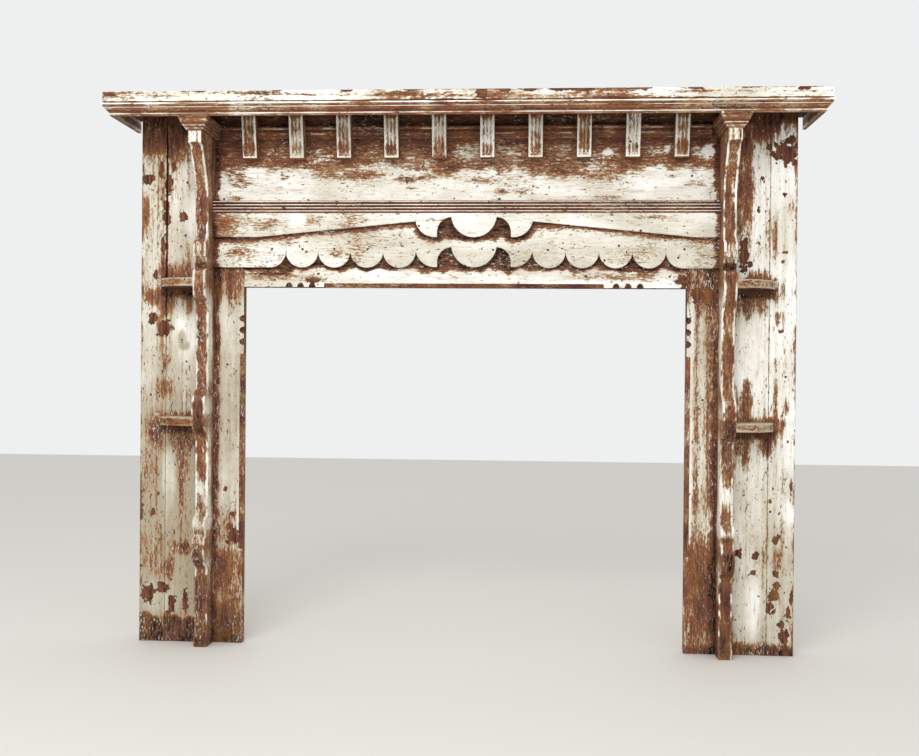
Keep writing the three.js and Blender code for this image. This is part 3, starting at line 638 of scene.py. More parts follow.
class Pen:
    """Draws a profile as closely spaced points."""

    def __init__(self, start, spacing=2.5):
        self.points = [start]
        self.spacing = spacing

    def line(self, *end):
        """A straight line to the end."""
        start = self.points[-1]
        count = max(1, math.ceil(math.dist(start, end) / self.spacing))
        for i in range(1, count + 1):
            t = i / count
            self.points.append(tuple(a + (b - a) * t for a, b in zip(start, end)))

    def curve(self, *controls):
        """A Bezier curve through one or two control points to the last point."""
        chain = [self.points[-1], *controls]
        reach = sum(math.dist(a, b) for a, b in zip(chain, chain[1:]))
        count = max(6, math.ceil(reach / self.spacing))
        for i in range(1, count + 1):
            t = i / count
            level = chain
            while len(level) > 1:
                level = [tuple(p + (q - p) * t for p, q in zip(a, b)) for a, b in zip(level, level[1:])]
            self.points.append(level[0])


def steps(start, end, count):
    """Evenly spaced points from start to end, both included."""
    return [tuple(a + (b - a) * i / count for a, b in zip(start, end)) for i in range(count + 1)]


def spread(start, end, spacing, extra=()):
    """Stations from start to end at the spacing, with finer ones round the extra places."""
    count = max(1, math.ceil((end - start) / spacing))
    stations = {round(start + (end - start) * i / count, 3) for i in range(count + 1)}
    for place, half, fine in extra:
        parts = max(1, math.ceil(2 * half / fine))
        for i in range(parts + 1):
            value = place - half + 2 * half * i / parts
            if start < value < end:
                stations.add(round(value, 3))
    return sorted(stations)


def board(axis, start, end, low, high, front, back, cut_low=None, cut_high=None, extra=(), seed=1.0):
    """A board along X or Z with worn arrises. The cuts give the (across, deep) size of what is
    taken off its two front arrises at a station."""
    eased = millimetres("eased_arris")
    worn = millimetres("worn_arris")
    count = max(3, math.ceil((high - low) / millimetres("grid")))
    rings = []
    for station in spread(start, end, millimetres("grid"), extra):
        legs = []
        for index, cut in enumerate((cut_low, cut_high)):
            rub = noise.noise(Vector((station / 17, seed + 5 * index, 0)))
            nick = noise.noise(Vector((station / 5, seed + 5 * index, 9)))
            bite = eased + worn * max(0, rub - 0.12) ** 1.5 + worn * 0.5 * max(0, nick - 0.3)
            taken = cut(station) if cut else (0, 0)
            legs.append((max(bite, taken[0]), max(bite, taken[1])))
        (low_across, low_deep), (high_across, high_deep) = legs
        bend_low = 0.5 if low_deep > 5 else 0.3
        bend_high = 0.5 if high_deep > 5 else 0.3
        ring = [(low, back), (low, (back + front) / 2), (low, front + low_deep)]
        for share in (bend_low, 0.03):
            ring.append((low + low_across * (1 - share), front + low_deep * share))
        for i in range(count + 1):
            t = i / count
            ring.append((low + low_across + (high - high_across - low - low_across) * t, front))
        for share in (0.03, bend_high):
            ring.append((high - high_across * (1 - share), front + high_deep * share))
        ring += [(high, front + high_deep), (high, (back + front) / 2), (high, back)]
        ring += [((low + high * 2) / 3, back), ((low * 2 + high) / 3, back)]
        if axis == "X":
            rings.append([(station, y, across) for across, y in ring])
        else:
            rings.append([(across, y, station) for across, y in ring])
    return loft(rings)


def arris_cut(chamfer_start, chamfer_end, gouges):
    """The chamfer and gouge cuts along an arris, as a cut for board()."""
    leg = millimetres("chamfer")
    radius = millimetres("gouge_radius")

    def cut(station):
        inside = min(station - chamfer_start, chamfer_end - station)
        taken = leg * min(1, max(0, inside) / 2) if inside > 0 else 0
        for place in gouges:
            offset = abs(station - place)
            if offset < radius:
                taken = max(taken, math.sqrt(2) * math.sqrt(radius ** 2 - offset ** 2))
        return taken, taken

    return cut


def fret_half(detail):
    """Lower edge of half a fret outward from its centre, and its outer cusp."""
    lobe_half, lobe_deep, hollow, side_radius, cusp = 57.5, 51, 38, 50, 40
    lobe = (lobe_half ** 2 + lobe_deep ** 2) / (2 * lobe_deep)
    side_x = lobe_half - 2 + hollow + 6
    outer = side_x + math.sqrt(side_radius ** 2 - (side_radius - cusp) ** 2)
    points = arc(0, lobe, lobe, -math.pi / 2, math.asin(lobe_half / lobe) - math.pi / 2, detail)
    points += arc(lobe_half - 2, lobe_deep - hollow, hollow, math.pi / 2, 0, detail)[2:]
    end = math.atan2(cusp - side_radius, outer - side_x)
    points += arc(side_x, side_radius, side_radius, -math.pi / 2 - 0.12, end, detail)
    return points, outer, cusp


def arc(x, z, radius, start, end, spacing):
    """Points along an arc round (x, z), both ends included."""
    count = max(4, math.ceil(abs(end - start) * radius / spacing))
    angles = [start + (end - start) * i / count for i in range(count + 1)]
    return [(x + radius * math.cos(a), z + radius * math.sin(a)) for a in angles]


def fret_edge(level):
    """The whole lower edge of the upper or lower fret, from left to right, in place."""
    low, high = node_box(f"{level}_fret")
    half, outer, cusp = fret_half(FRET_DETAIL)
    inner = STILE_EDGE - BLADE_HALF
    foot = high.z - FRET_DEPTH[level]
    if level == "upper":
        end = inner - FRET_OFFSET - 59
        # The cut slopes down to the foot, on the right 59 mm short of the pilaster.
        run = Pen(half[-1], 4)
        run.line(end, 0)
        half += run.points[1:]
    else:
        # Round scallops fill the rest, and half a one and at least 80 mm of flat end it.
        radius = 41.85
        room = inner - FRET_OFFSET - outer
        count = max(0, math.floor((room - radius - 80) / (2 * radius)))
        for i in range(count):
            half += arc(outer + (2 * i + 1) * radius, cusp, radius, -math.pi, 0, FRET_DETAIL)[1:]
        middle = outer + (2 * count + 1) * radius
        half += arc(middle, cusp, radius, -math.pi, -math.pi / 2, FRET_DETAIL)[1:]
    edge = [(-x, z) for x, z in reversed(half[1:])] + half
    left = Pen((low.x - FRET_OFFSET, edge[0][1]), 4)
    left.line(*edge[0])
    right = Pen(edge[-1], 4)
    right.line(high.x - FRET_OFFSET, edge[-1][1])
    return [(x + FRET_OFFSET, z + foot) for x, z in left.points[:-1] + edge + right.points[1:]]


def near_edge(x, z, edge, reach):
    """1 at a fret's cut edge, falling to 0 at the reach."""
    tree = kdtree.KDTree(len(edge))
    for i, (edge_x, edge_z) in enumerate(edge):
        tree.insert((edge_x, edge_z, 0), i)
    tree.balance()
    distance = np.array([tree.find((px, pz, 0))[2] for px, pz in zip(x, z)])
    return np.clip(1 - distance / reach, 0, 1)


def head_wear(x, z, stained=0.25):
    """Wear of the boards between the legs, from the stains and the brown ends."""
    inner = STILE_EDGE - BLADE_HALF
    wear = 0.27 + stained * near_patches(x, z, STAINS, 1.9)
    wear -= 0.25 * near_patches(x, z, DAUBS, 1.5)
    ends = np.abs(x) + 5 * wander(z, 14, 3.0)
    wear += 0.5 * smooth(inner - 15, inner - 4, ends)
    return wear + 0.05 * wander(x, 130, 4.0)


class MANTEL_OT_head_boards(bpy.types.Operator):
    """Builds the frieze and lintel boards."""

    bl_idname = "mantel.head_boards"
    bl_label = "Head Boards"

    def execute(self, context):
        material = painted_pine("boards")
        upper = fret_edge("upper")
        lower = fret_edge("lower")

        def frieze_wear_and_shade(x, y, z, stand):
            """The top, between the dentils, turns brown from about 1210 mm up."""
            wear = head_wear(x, z)
            line = z + 9 * wander(x, 120, 1.0) + 5 * wander(x, 23, 2.0)
            brown = smooth(1208, 1240, line)
            wear += 0.28 * brown * (1 - 0.3 * near_patches(x, z, DAUBS, 1.9))
            wear += 0.07 * smooth(1150, 1215, z)
            # Painted shade just under the bed moulding and the shelf.
            wear += 0.16 * smooth(1276, 1298, z)
            # Midway between the dentils, which stand 121.3 mm apart, the wear is less.
            dentils = np.cos((x - 61) / 121.3 * 2 * math.pi) * smooth(1236, 1250, z)
            return wear + 0.08 * (dentils - 0.4) * (1 - smooth(1262, 1284, z))

        low, high = node_box("frieze_board")
        part = board("X", low.x, high.x, low.z, high.z, 0, high.y, seed=2.0)
        add_piece("frieze_board_painted", [part], material, ["frieze_board"],
                  frieze_wear_and_shade, chips_within(640), back="X")

        low, high = node_box("lintel_board")
        start = low.x + LINTEL_STOP
        pitch = millimetres("gouge_pitch")
        gouges = [start - i * pitch for i in (1, 2, 3)] + [-start + i * pitch for i in (1, 2, 3)]
        extra = [(place, 10, 0.8) for place in gouges] + [(start, 4, 1), (-start, 4, 1)]
        foot = min(z for x, z in lower)

        def lintel_wear_and_shadow(x, y, z, stand):
            """Brown shows between the fret's scallops and at the ends, with a painted shadow mixed with
            dirt along the fret's edge, and the chamfer is bare.
            """
            wear = head_wear(x, z)
            wear += 0.62 * smooth(foot - 15, foot + 5, z + 8 * wander(x, 26, 5.0))
            # A painted shadow, mixed with dirt, in an 11 mm band along the fret's cut edge.
            wear += 0.4 * near_edge(x, z, lower, 11) + 0.02
            wear += 0.3 * smooth(956, 972, z + 6 * wander(x, 25, 8.0)) * (np.abs(x) > 440)
            cut = smooth(0.1, 0.25, y) * (z < OPENING_TOP + 16)
            bare = np.where(np.abs(x) > -start, GOUGE_WEAR, 0.66 + 0.12 * wander(x, 38, 2.0))
            wear = np.where(cut > 0.5, bare, wear)
            rim = (y < 0.5) & (z < OPENING_TOP + 15) & (np.abs(x) > 350)
            return wear - 0.1 * rim

        part = board("X", low.x, high.x, low.z, high.z, 0, high.y,
                     cut_low=arris_cut(start, -start, gouges), extra=extra, seed=3.0)
        add_piece("lintel_board_painted", [part], material, ["lintel_board"],
                  lintel_wear_and_shadow, chips_within(570), aged=0.25, back="X")
        return {"FINISHED"}


class MANTEL_OT_legs(bpy.types.Operator):
    """Builds the stiles, the panels and the side returns of both legs."""

    bl_idname = "mantel.legs"
    bl_label = "Legs"

    def execute(self, context):
        material = painted_pine("legs")
        for label, side in SIDES:
            self.add_stile(label, side, material)
            self.add_panels(label, side, material)
            low, high = node_box(f"side_return_{label}")
            part = board("Z", low.z, high.z, low.x, high.x, low.y, high.y, seed=20.0 + side)
            add_piece(f"side_return_{label}_painted", [part], material,
                      [f"side_return_{label}"], lambda x, y, z, stand: 0.4 + 0.08 * wander(z, 90, 8.0))
        return {"FINISHED"}

    def add_stile(self, label, side, material):
        """The board beside the opening, with its stopped chamfer and gouge cuts."""
        low, high = node_box(f"inner_stile_{label}")
        top = OPENING_TOP - STILE_STOP
        pitch = millimetres("gouge_pitch")
        gouges = [top + i * pitch for i in (1, 2, 3)]
        cut = arris_cut(FOOT_STOP, top, gouges)
        cuts = {"cut_high": cut} if side < 0 else {"cut_low": cut}
        extra = [(place, 10, 0.8) for place in gouges] + [(FOOT_STOP, 4, 1), (top, 4, 1)]

        def stile_wear(x, y, z, stand):
            inner = np.abs(x)
            wear = np.full(len(x), 0.4 if side < 0 else 0.37)
            wear += 0.3 * near_patches(x, z, STAINS, 1.6)
            wear += 0.34 * smooth(850, 925, z + 16 * wander(x, 30, 6.0))
            wear += 0.4 * smooth(622, 640, inner + 5 * wander(z, 25, 7.0))
            wear += (0.09 if side > 0 else 0.05) * (1 - smooth(290, 350, z + 20 * wander(x, 20, 9.0)))
            wear += 0.16 * wander(x, 13, 5.0) * smooth(330, 380, z)
            wear += 0.3 * (1 - smooth(8, 26, z))
            wear -= 0.22 * (inner < HALF_OPENING + 17) * smooth(FOOT_STOP, 300, z)
            carved = smooth(0.1, 0.25, y) * (inner < HALF_OPENING + 15)
            bare = np.where(z > top, GOUGE_WEAR, 0.62 + 0.12 * wander(z, 38, 2.0))
            return np.where(carved > 0.5, bare, wear)

        part = board("Z", low.z, high.z, low.x, high.x, 0, high.y, extra=extra, seed=5.0 + side, **cuts)
        add_piece(f"inner_stile_{label}_painted", [part], material,
                  [f"inner_stile_{label}"], stile_wear, chips_within(650),
                  aged=0.75 if side < 0 else 0.35)

    def add_panels(self, label, side, material):
        """The two boards outside the pilaster, with an open joint in the left leg."""
        crack = millimetres("panel_crack") / 2

        def open_joint(station):
            """Half the gap at the joint of the left leg, closing 16 mm behind the face."""
            if side > 0:
                return 0.6, 1
            wide = float(smooth(800, 1000, station) * (1 - smooth(1290, 1345, station)))
            wave = 0.75 + 0.5 * noise.noise(Vector((station / 45, 4, 0)))
            return 0.6 + crack * wide * wave, 1 + 15 * wide

        for which in ("inner", "outer"):
            low, high = node_box(f"panel_{which}_{label}")
            joint_high = (which == "inner") == (side > 0)
            cuts = {"cut_high": open_joint} if joint_high else {"cut_low": open_joint}
            part = board("Z", low.z, high.z, low.x, high.x, 0, high.y,
                         seed=9.0 + side + (3 if which == "inner" else 0), **cuts)
            add_piece(f"panel_{which}_{label}_painted", [part], material,
                      [f"panel_{which}_{label}"], self.panel_wear(side), CHIPS,
                      aged=self.panel_age(side))

    def panel_age(self, side):
        """Yellowing of the sound paint, which changes towards the foot."""
        top, foot = (0.68, 0.35) if side < 0 else (0.08, 0.5)
        return lambda z: top + foot * (1 - smooth(150, 750, z))

    def panel_wear(self, side):
        """Wear of a leg's panels: most at the head, the foot, the edges and the open joint, with painted
        shade under the shelf and painted shadows under the corner shelves.
        """
        def wear_and_shading_at(x, y, z, stand):
            out = np.abs(x)
            wear = np.full(len(x), 0.33 if side < 0 else 0.26)
            wear += 0.05 * (1 - smooth(400, 800, z))
            wear += 0.3 * near_patches(x, z, STAINS, 1.6)
            wear -= 0.3 * near_patches(x, z, DAUBS, 1.4)
            wear += 0.08 * wander(x, 9, 1.0)
            top = z + 12 * wander(x, 22, 2.0)
            bare_top = 0.55 if side < 0 else 0.55 - 0.3 * smooth(785, 800, x)
            wear += bare_top * smooth(1306, 1350, top) + 0.12 * smooth(1230, 1300, top)
            foot = 62 if side < 0 else 20
            wear += 0.5 * (1 - smooth(foot - 7, foot + 7, z + 12 * wander(x, 18, 3.0)))
            wear += 0.42 * (1 - smooth(678, 688, out + 4 * wander(z, 20, 4.0)))
            # Painted shade at the top, under the shelf.
            wear += 0.55 * smooth(1330, 1354, z)
            wear += 0.25 * smooth(831, 836, out + 4 * wander(z, 35, 5.0))
            seam = smooth(820, 900, z) * (1 - smooth(1290, 1350, z)) if side < 0 else 0.3
            wear += 0.4 * seam * (np.abs(out - 770) < 2.6)
            # Darker round the corner shelves, which reach 104 mm out: a little just above them, and below
            # them a painted shadow, deepest just under them.
            shelf = out < STILE_EDGE + BLADE_HALF + 104 + 4
            for top_z in SHELF_TOPS:
                above = z - top_z
                below = top_z - SHELF_THICKNESS - z
                wear += 0.3 * shelf * ((above > -2) * np.clip(1 - above / 16, 0, 1))
                wear += 0.3 * shelf * ((below > -2) * np.clip(1 - below / 30, 0, 1))
                wear += 1.3 * shelf * ((below > -2) * np.clip(1 - below / 22, 0, 1))
            return np.where(y > 0.8, np.maximum(wear, 0.55), wear)

        return wear_and_shading_at


class MANTEL_OT_shelf(bpy.types.Operator):
    """Builds the shelf board and the moulding round it."""

    bl_idname = "mantel.shelf"
    bl_label = "Shelf"

    def execute(self, context):
        low, high = node_box("shelf_board")
        material = painted_pine("boards")

        def shelf_wear_and_shade(x, y, z, stand):
            wear = 0.36 + 0.10 * wander(x, 170, 1.0) + 0.08 * wander(z + x / 60, 4, 2.0)
            face = y < low.y + 1
            stripe = np.exp(-((z - 1379 + 3 * wander(x, 200, 3.0)) / 3.2) ** 2)
            wear += 0.16 * stripe * face * (0.5 + wander(x, 80, 4.0))
            wear += 0.7 * np.clip(stand, 0, 0.5) * (0.6 + wander(x, 30, 6.0))
            worn_top = 0.4 + 0.4 * wander(x + 70 * wander(y, 70, 6.0), 130, 5.0) + 0.2 * wander(y, 60, 9.0)
            wear += 0.3 * (z > high.z - 0.1) * worn_top
            # The underside is nearly black with painted shade.
            return np.where(z < low.z + 0.1, 1.1, wear)

        def front_chips(x, y, z):
            return near_patches(x, z, SHELF_CHIPS, 1.4) * (y < low.y + 5)

        rings = []
        eased = millimetres("eased_arris")
        for station in spread(low.x, high.x, 4):
            bite = eased + 3.5 * max(0, noise.noise(Vector((station / 23, 2, 2))) - 0.15)
            # The front eases back by 1.2 mm at the ends.
            end = 1.2 * smooth(4, 0, np.array(min(station - low.x, high.x - station)))
            face = low.y + end
            ring = steps((face, low.z + 1.5), (face, high.z - bite), 10)
            ring += [(face + bite * 0.3, high.z - bite * 0.3)]
            ring += steps((face + bite, high.z), (high.y, high.z), 26)
            ring += steps((high.y, low.z), (low.y + 1.5, low.z), 12)
            rings.append([(station, y, z) for y, z in ring])
        add_piece("shelf_board_painted", [loft(rings)], material, ["shelf_board"],
                  shelf_wear_and_shade, front_chips, back="X")
        self.add_moulding(low, high)
        return {"FINISHED"}

    def add_moulding(self, low, high):
        """The three mitred runs of moulding below the shelf."""
        def section():
            """Outline of the moulding: how far out of the shelf's face, how far up."""
            deep, tall, proud = 22, 31, 5
            run = Pen((-deep, -0.3), 6)
            run.line(-deep, -tall)
            run.spacing = 1.2
            run.line(-deep * 0.64, -tall)
            run.line(-deep * 0.59, -tall * 0.9)
            run.curve((-deep * 0.45, -tall * 0.89), (-deep * 0.48, -tall * 0.81))
            run.line(-deep * 0.57, -tall * 0.76)
            run.line(-deep * 0.55, -tall * 0.69)
            run.curve((-deep * 0.27, -tall * 0.65), (-deep * 0.2, -tall * 0.44))
            run.line(-deep * 0.09, -tall * 0.42)
            run.line(-deep * 0.09, -tall * 0.355)
            run.line(0, -tall * 0.34)
            run.curve((proud, -tall * 0.19), (0, -tall * 0.05))
            run.line(-deep * 0.07, -0.3)
            return run.points

        def wear_and_shading_at(x, y, z, stand):
            along = np.where(np.abs(x) > high.x - 1, y * 1.3, x)
            # Lighter on crests and darker in hollows: partly painted highlight and painted shade, partly
            # dirt in the hollows.
            wear = 0.57 - 0.5 * np.clip(stand, -0.35, 0.5)
            # Painted highlight lines along the moulding: height, half width and gain.
            for place, half, gain in ((1359, 1.7, 0.46), (1350.5, 1.1, 0.34), (1336, 1.4, 0.42)):
                line = np.exp(-((z - place) / half) ** 2)
                wear -= gain * line * (0.75 + 0.5 * wander(along, 60, place))
            wear += 0.05 * wander(along, 45, 1.0)
            return np.where(z < 1341, wear + 0.05, wear)

        material = painted_pine("mouldings")
        points = section()
        parts = [
            moulding(points, low.x, high.x, 5, lambda out, s: (s, low.y - out), 1, 1),
            moulding(points, low.y, high.y, 8, lambda out, s: (low.x - out, s), 1, 0),
            moulding(points, low.y, high.y, 8, lambda out, s: (high.x + out, s), 1, 0),
        ]
        parts = [([(x, y, z + low.z) for x, y, z in p], f) for p, f in parts]
        add_piece("shelf_moulding_painted", parts, material,
                  [f"shelf_moulding_{part}" for part in ("front", "left", "right")], wear_and_shading_at, aged=0.2,
                  back=None)


def moulding(section, start, end, spacing, place, start_mitre=0, end_mitre=0):
    """A run of moulding. place turns (outward, along) into plan coordinates, and a mitre moves an
    end along the run by as much as the section stands out."""
    rings = []
    for station in spread(start, end, spacing):
        ring = []
        for out, up in section:
            t = (station - start) / (end - start)
            shift = -start_mitre * out * (1 - t) ** 8 + end_mitre * out * t ** 8
            x, y = place(out, station + shift)
            ring.append((x, y, up))
        rings.append(ring)
    return loft(rings)


def fluted_ring(left, width, out, up, back, arris, depth):
    """Plan ring of a fluted blade at one height: sides, rubbed arrises and three round flutes."""
    flute = millimetres("flute_width")
    land = millimetres("flute_land")
    margin = (width - 3 * flute - 2 * land) / 2
    across = [(0, arris), (arris * 0.35, arris * 0.35), (arris, 0)]
    for i in range(3):
        start = margin + i * (flute + land)
        for j in range(7):
            t = j / 6
            across.append((start + flute * t, depth * math.sin(math.pi * t) ** 0.8 if 0 < j < 6 else 0))
    across += [(width - arris, 0), (width - arris * 0.35, arris * 0.35), (width, arris)]
    sides = [0.0, 0.3, 0.6, 0.85]
    ring = [(left, -(back + (out - arris - back) * t), up) for t in sides]
    ring += [(left + x, -(out - carve), up) for x, carve in across]
    ring += [(left + width, -(back + (out - arris - back) * t), up) for t in reversed(sides)]
    return ring


class MANTEL_OT_pilasters(bpy.types.Operator):
    """Builds the two console pilasters."""

    bl_idname = "mantel.pilasters"
    bl_label = "Pilasters"

    def profile(self):
        """The blade's front edge from the floor up: how far out, how high."""
        block = SOFFIT - HEAD_TALL
        high, low = SHELF_TOPS
        step = SHELF_THICKNESS
        run = Pen((53, 0), 3.5)
        run.line(53, 22)
        run.line(48, 34)
        run.line(48, 196)
        run.curve((54, 210), (80, 206), (80, 236))
        run.curve((80, 270), (66, 292))
        run.line(68, 301)
        run.curve((78, 312), (72, 322))
        run.curve((62, 332), (48, 334))
        run.line(50, low - 3 * step)
        run.curve((56, low - 30), (85, low - 42), (85, low - 4))
        run.line(85, low + 32)
        run.curve((85, low + 62), (50, low + 58), (50, low + 90))
        run.line(52, high - 98)
        run.curve((54, high - 56), (85, high - 60), (85, high - 14))
        run.line(84, high + 17)
        run.line(62, high + 26)
        run.curve((66, high + 42), (81, high + 54))
        run.line(81, high + 90)
        run.curve((66, high + 94), (62, high + 110))
        run.line(62, block - 134)
        run.curve((64, block - 79), (95.5, block - 46), (111, block - 5))
        run.line(HEAD_OUT, block)
        run.line(HEAD_OUT, SOFFIT)
        return run.points

    def execute(self, context):
        material = painted_pine("carvings")
        depth = millimetres("flute_depth")
        for label, side in SIDES:
            left = side * STILE_EDGE - BLADE_HALF
            rings = []
            for out, up in self.profile():
                carved = 34 < up < SOFFIT - HEAD_TALL
                rub = 0.6 * max(0, noise.noise(Vector((up / 14, side, 0))))
                arris = (4 if carved else 1.2) + rub
                rings.append(fluted_ring(left, 2 * BLADE_HALF, out - 0.02, up, 0, arris,
                                         depth if carved else 0))
            add_piece(f"pilaster_{label}_painted", [loft(rings)], material,
                      [f"pilaster_{label}"], self.wear_and_shading_on(side), aged=0.2)
        return {"FINISHED"}

    def wear_and_shading_on(self, side):
        """Wear of a pilaster: most down the middle of the blade, at its swellings and flanks, with painted
        shade on the flanks and a painted shadow in the groove below the upper bump.
        """
        high, low = SHELF_TOPS

        def wear_and_shading_at(x, y, z, stand):
            across = np.abs(np.abs(x) - STILE_EDGE)
            centre = 1 - smooth(9.5, 14, across + 1.5 * wander(z, 12, 6.0 + side))
            # Lighter on the arrises and darker in the flutes: partly painted highlight and painted shade,
            # partly dirt in the flutes.
            wear = 0.37 + 0.25 * centre - 0.14 * np.clip(stand, -0.3, 0.25)
            wear += 0.14 * wander(z, 19, 11.0 + side) * smooth(9, 14, across)
            wear += 0.1 * wander(z + 4 * x, 44, 8.0 + side) + 0.1 * (1 - smooth(180, 300, z))
            wear += 0.06 * wander(z, 70, 2.0 + side) + 0.05 * wander(z, 21, 3.0)
            flank = across > BLADE_HALF - 0.2
            inner = np.abs(x) < STILE_EDGE
            # The flanks: their brown paint with painted shade on it.
            flank_wear_and_shade = 0.40 + 0.02 * inner + 0.22 * smooth(760, 1100, z) + 0.12 * wander(z, 60, 5.0)
            flank_wear_and_shade += 0.2 * (1 - smooth(60, 260, z))
            wear = np.where(flank, flank_wear_and_shade, wear)
            front = ~flank
            # Bands across the shaft that are worn more: foot, head and gain. The first is a painted shadow
            # in the groove below the upper bump.
            for start, end, gain in (
                    (high + 22, high + 38, 0.5), (low - 44, low + 8, 0.2), (low + 55, low + 95, 0.08),
                    (218, 264, 0.25), (288, 301, 0.2), (0, 34, 0.12), (high - 70, high - 30, 0.06)):
                band = smooth(start - 4, start + 4, z) * (1 - smooth(end - 4, end + 4, z))
                wear += gain * band * (front + 0.3 * flank)
            # Bands where the paint has held: height, half width and gain.
            for place, half, gain in ((312, 9, -0.22), (405, 22, -0.2), (high + 72, 16, -0.1)):
                wear += gain * np.exp(-((z - place) / half) ** 2) * front
            # The head block's flanks are dark with painted shade.
            head = np.where(flank, 0.6, 0.42 + 0.14 * wander(x, 6, 4.0))
            wear = np.where(z > SOFFIT - HEAD_TALL + 2, head, wear)
            # Painted shade on the flanks towards the board behind and towards the shelf.
            wear += 0.35 * smooth(-24, -6, y) * flank
            return wear + 0.35 * smooth(SOFFIT - 40, SOFFIT - 20, z) * flank

        return wear_and_shading_at


class MANTEL_OT_capitals(bpy.types.Operator):
    """Builds the mitred mouldings round the pilaster heads."""

    bl_idname = "mantel.capitals"
    bl_label = "Capitals"

    def execute(self, context):
        tall, wide = 35, 20
        # The outline, in shares of the width and the height.
        shares = [(0.15, 0), (0.2, 0.12), (0.3, 0.14), (0.42, 0.3), (0.55, 0.33), (0.55, 0.42),
                  (0.72, 0.5), (0.78, 0.62), (0.72, 0.68), (0.88, 0.72), (0.95, 0.84), (1, 0.86), (1, 1)]
        run = Pen((0.3, 0), 1.2)
        for out, up in shares:
            run.line(wide * out, tall * up)
        run.line(0.3, tall)
        foot = node_box("capital_front_left")[0].z
        section = [(out, up + foot) for out, up in run.points]
        material = painted_pine("mouldings")

        def wear_and_shading_at(x, y, z, stand):
            # Lighter on crests and darker in hollows: partly painted highlight and painted shade, partly
            # dirt in the hollows.
            wear = 0.64 - 0.4 * np.clip(stand, -0.3, 0.5) + 0.06 * wander(z + x, 9, 2.0)
            # Three painted highlight lines across the capital.
            for share in (0.12, 0.31, 0.68):
                wear -= 0.28 * np.exp(-((z - foot - tall * share) / 1.2) ** 2)
            # The side runs are darker with painted shade.
            return wear + 0.12 * (np.abs(np.abs(x) - STILE_EDGE) > BLADE_HALF + 2) * (y > -120)

        for label, side in SIDES:
            left = side * STILE_EDGE - BLADE_HALF
            right = left + 2 * BLADE_HALF
            front = -HEAD_OUT
            parts = [
                moulding(section, left, right, 2, lambda out, s: (s, front - out), 1, 1),
                moulding(section, front, -0.3, 5, lambda out, s: (left - out, s), 1, 0),
                moulding(section, front, -0.3, 5, lambda out, s: (right + out, s), 1, 0),
            ]
            add_piece(f"capital_{label}_painted", parts, material,
                      [f"capital_{part}_{label}" for part in ("front", "inner", "outer")], wear_and_shading_at,
                      back=None)
        return {"FINISHED"}


class MANTEL_OT_corner_shelves(bpy.types.Operator):
    """Builds the four quarter-round shelves outside the pilasters."""

    bl_idname = "mantel.corner_shelves"
    bl_label = "Corner Shelves"

    def execute(self, context):
        material = painted_pine("corner shelves")
        for level in ("upper", "lower"):
            for label, side in SIDES:
                low, high = node_box(f"corner_shelf_{level}_{label}")
                wide, deep = high.x - low.x, -low.y
                inner = side * (STILE_EDGE + BLADE_HALF)
                plan = Pen((0, 0), 3)
                plan.line(0, -deep)
                plan.line(wide - deep, -deep)
                plan.points += arc(wide - deep, 0, deep, -math.pi / 2, 0, 3)[1:]
                plan.line(0, 0)
                outline = plan.points[:-1]
                rings = []
                levels = [(low.z, scale) for scale in (0.6, 0.97, 0.985)]
                levels += [(low.z + rise, 1) for rise in (1.3, 8, 15)]
                levels += [(high.z - 1.3, 1)]
                levels += [(high.z, scale) for scale in (0.985, 0.9, 0.75, 0.55, 0.3, 0.08)]
                for z, scale in levels:
                    rings.append([(inner + side * (20 + (x - 20) * scale), -20 + (y + 20) * scale, z)
                                  for x, y in outline])
                add_piece(f"corner_shelf_{level}_{label}_painted", [loft(rings)], material,
                          [f"corner_shelf_{level}_{label}"],
                          self.wear_and_shading_on(low, high), aged=0.8, back=None)
        return {"FINISHED"}

    def wear_and_shading_on(self, low, high):
        """Wear of a corner shelf: painted shade, nearly black, below, and paint held along its rims and on
        top.
        """
        def wear_and_shading_at(x, y, z, stand):
            wear = 0.57 + 0.06 * wander(x + y, 14, 1.0) - 0.5 * np.clip(stand, 0, 0.4)
            rim = np.minimum(np.abs(z - high.z), np.abs(z - low.z))
            wear -= 0.12 * np.exp(-(rim / 2.5) ** 2)
            wear = np.where(z > high.z - 0.1, 0.36 + 0.1 * wander(x, 12, 2.0), wear)
            # Painted shade on the underside.
            return np.where(z < low.z + 0.1, 1.2, wear)

        return wear_and_shading_at


class MANTEL_OT_bed_moulding(bpy.types.Operator):
    """Builds the moulding along the top of the frieze."""

    bl_idname = "mantel.bed_moulding"
    bl_label = "Bed Moulding"

    def execute(self, context):
        low, high = node_box("bed_moulding")
        out, up = 14, high.z - low.z
        run = Pen((0, 0), 1.2)
        run.line(out * 0.21, 0)
        run.line(out * 0.29, up * 0.11)
        run.curve((out * 0.86, up * 0.16), (out * 0.71, up * 0.45))
        run.line(out * 0.43, up * 0.49)
        run.line(out * 0.43, up * 0.55)
        run.curve((out * 1.36, up * 0.71), (out * 0.64, up * 0.89))
        run.line(out * 0.57, up)
        run.line(0, up)
        section = [(a, b + low.z) for a, b in run.points]
        material = painted_pine("mouldings")

        def wear_and_shading_at(x, y, z, stand):
            # Painted shade towards the top, under the shelf.
            wear = 0.68 + 0.07 * wander(x, 40, 3.0) + 0.4 * smooth(low.z + 24, high.z - 4, z)
            # Painted highlight lines along the moulding: height and gain.
            for place, gain in ((1.5, 0.16), (11, 0.24), (24, 0.2)):
                line = np.exp(-((z - low.z - place) / 1.6) ** 2)
                wear -= gain * line * (0.6 + 0.7 * wander(x, 33, place))
            return wear

        part = moulding(section, low.x, high.x, 4, lambda o, s: (s, -o))
        add_piece("bed_moulding_painted", [part], material, ["bed_moulding"],
                  wear_and_shading_at, aged=0.25, back=None)
        return {"FINISHED"}


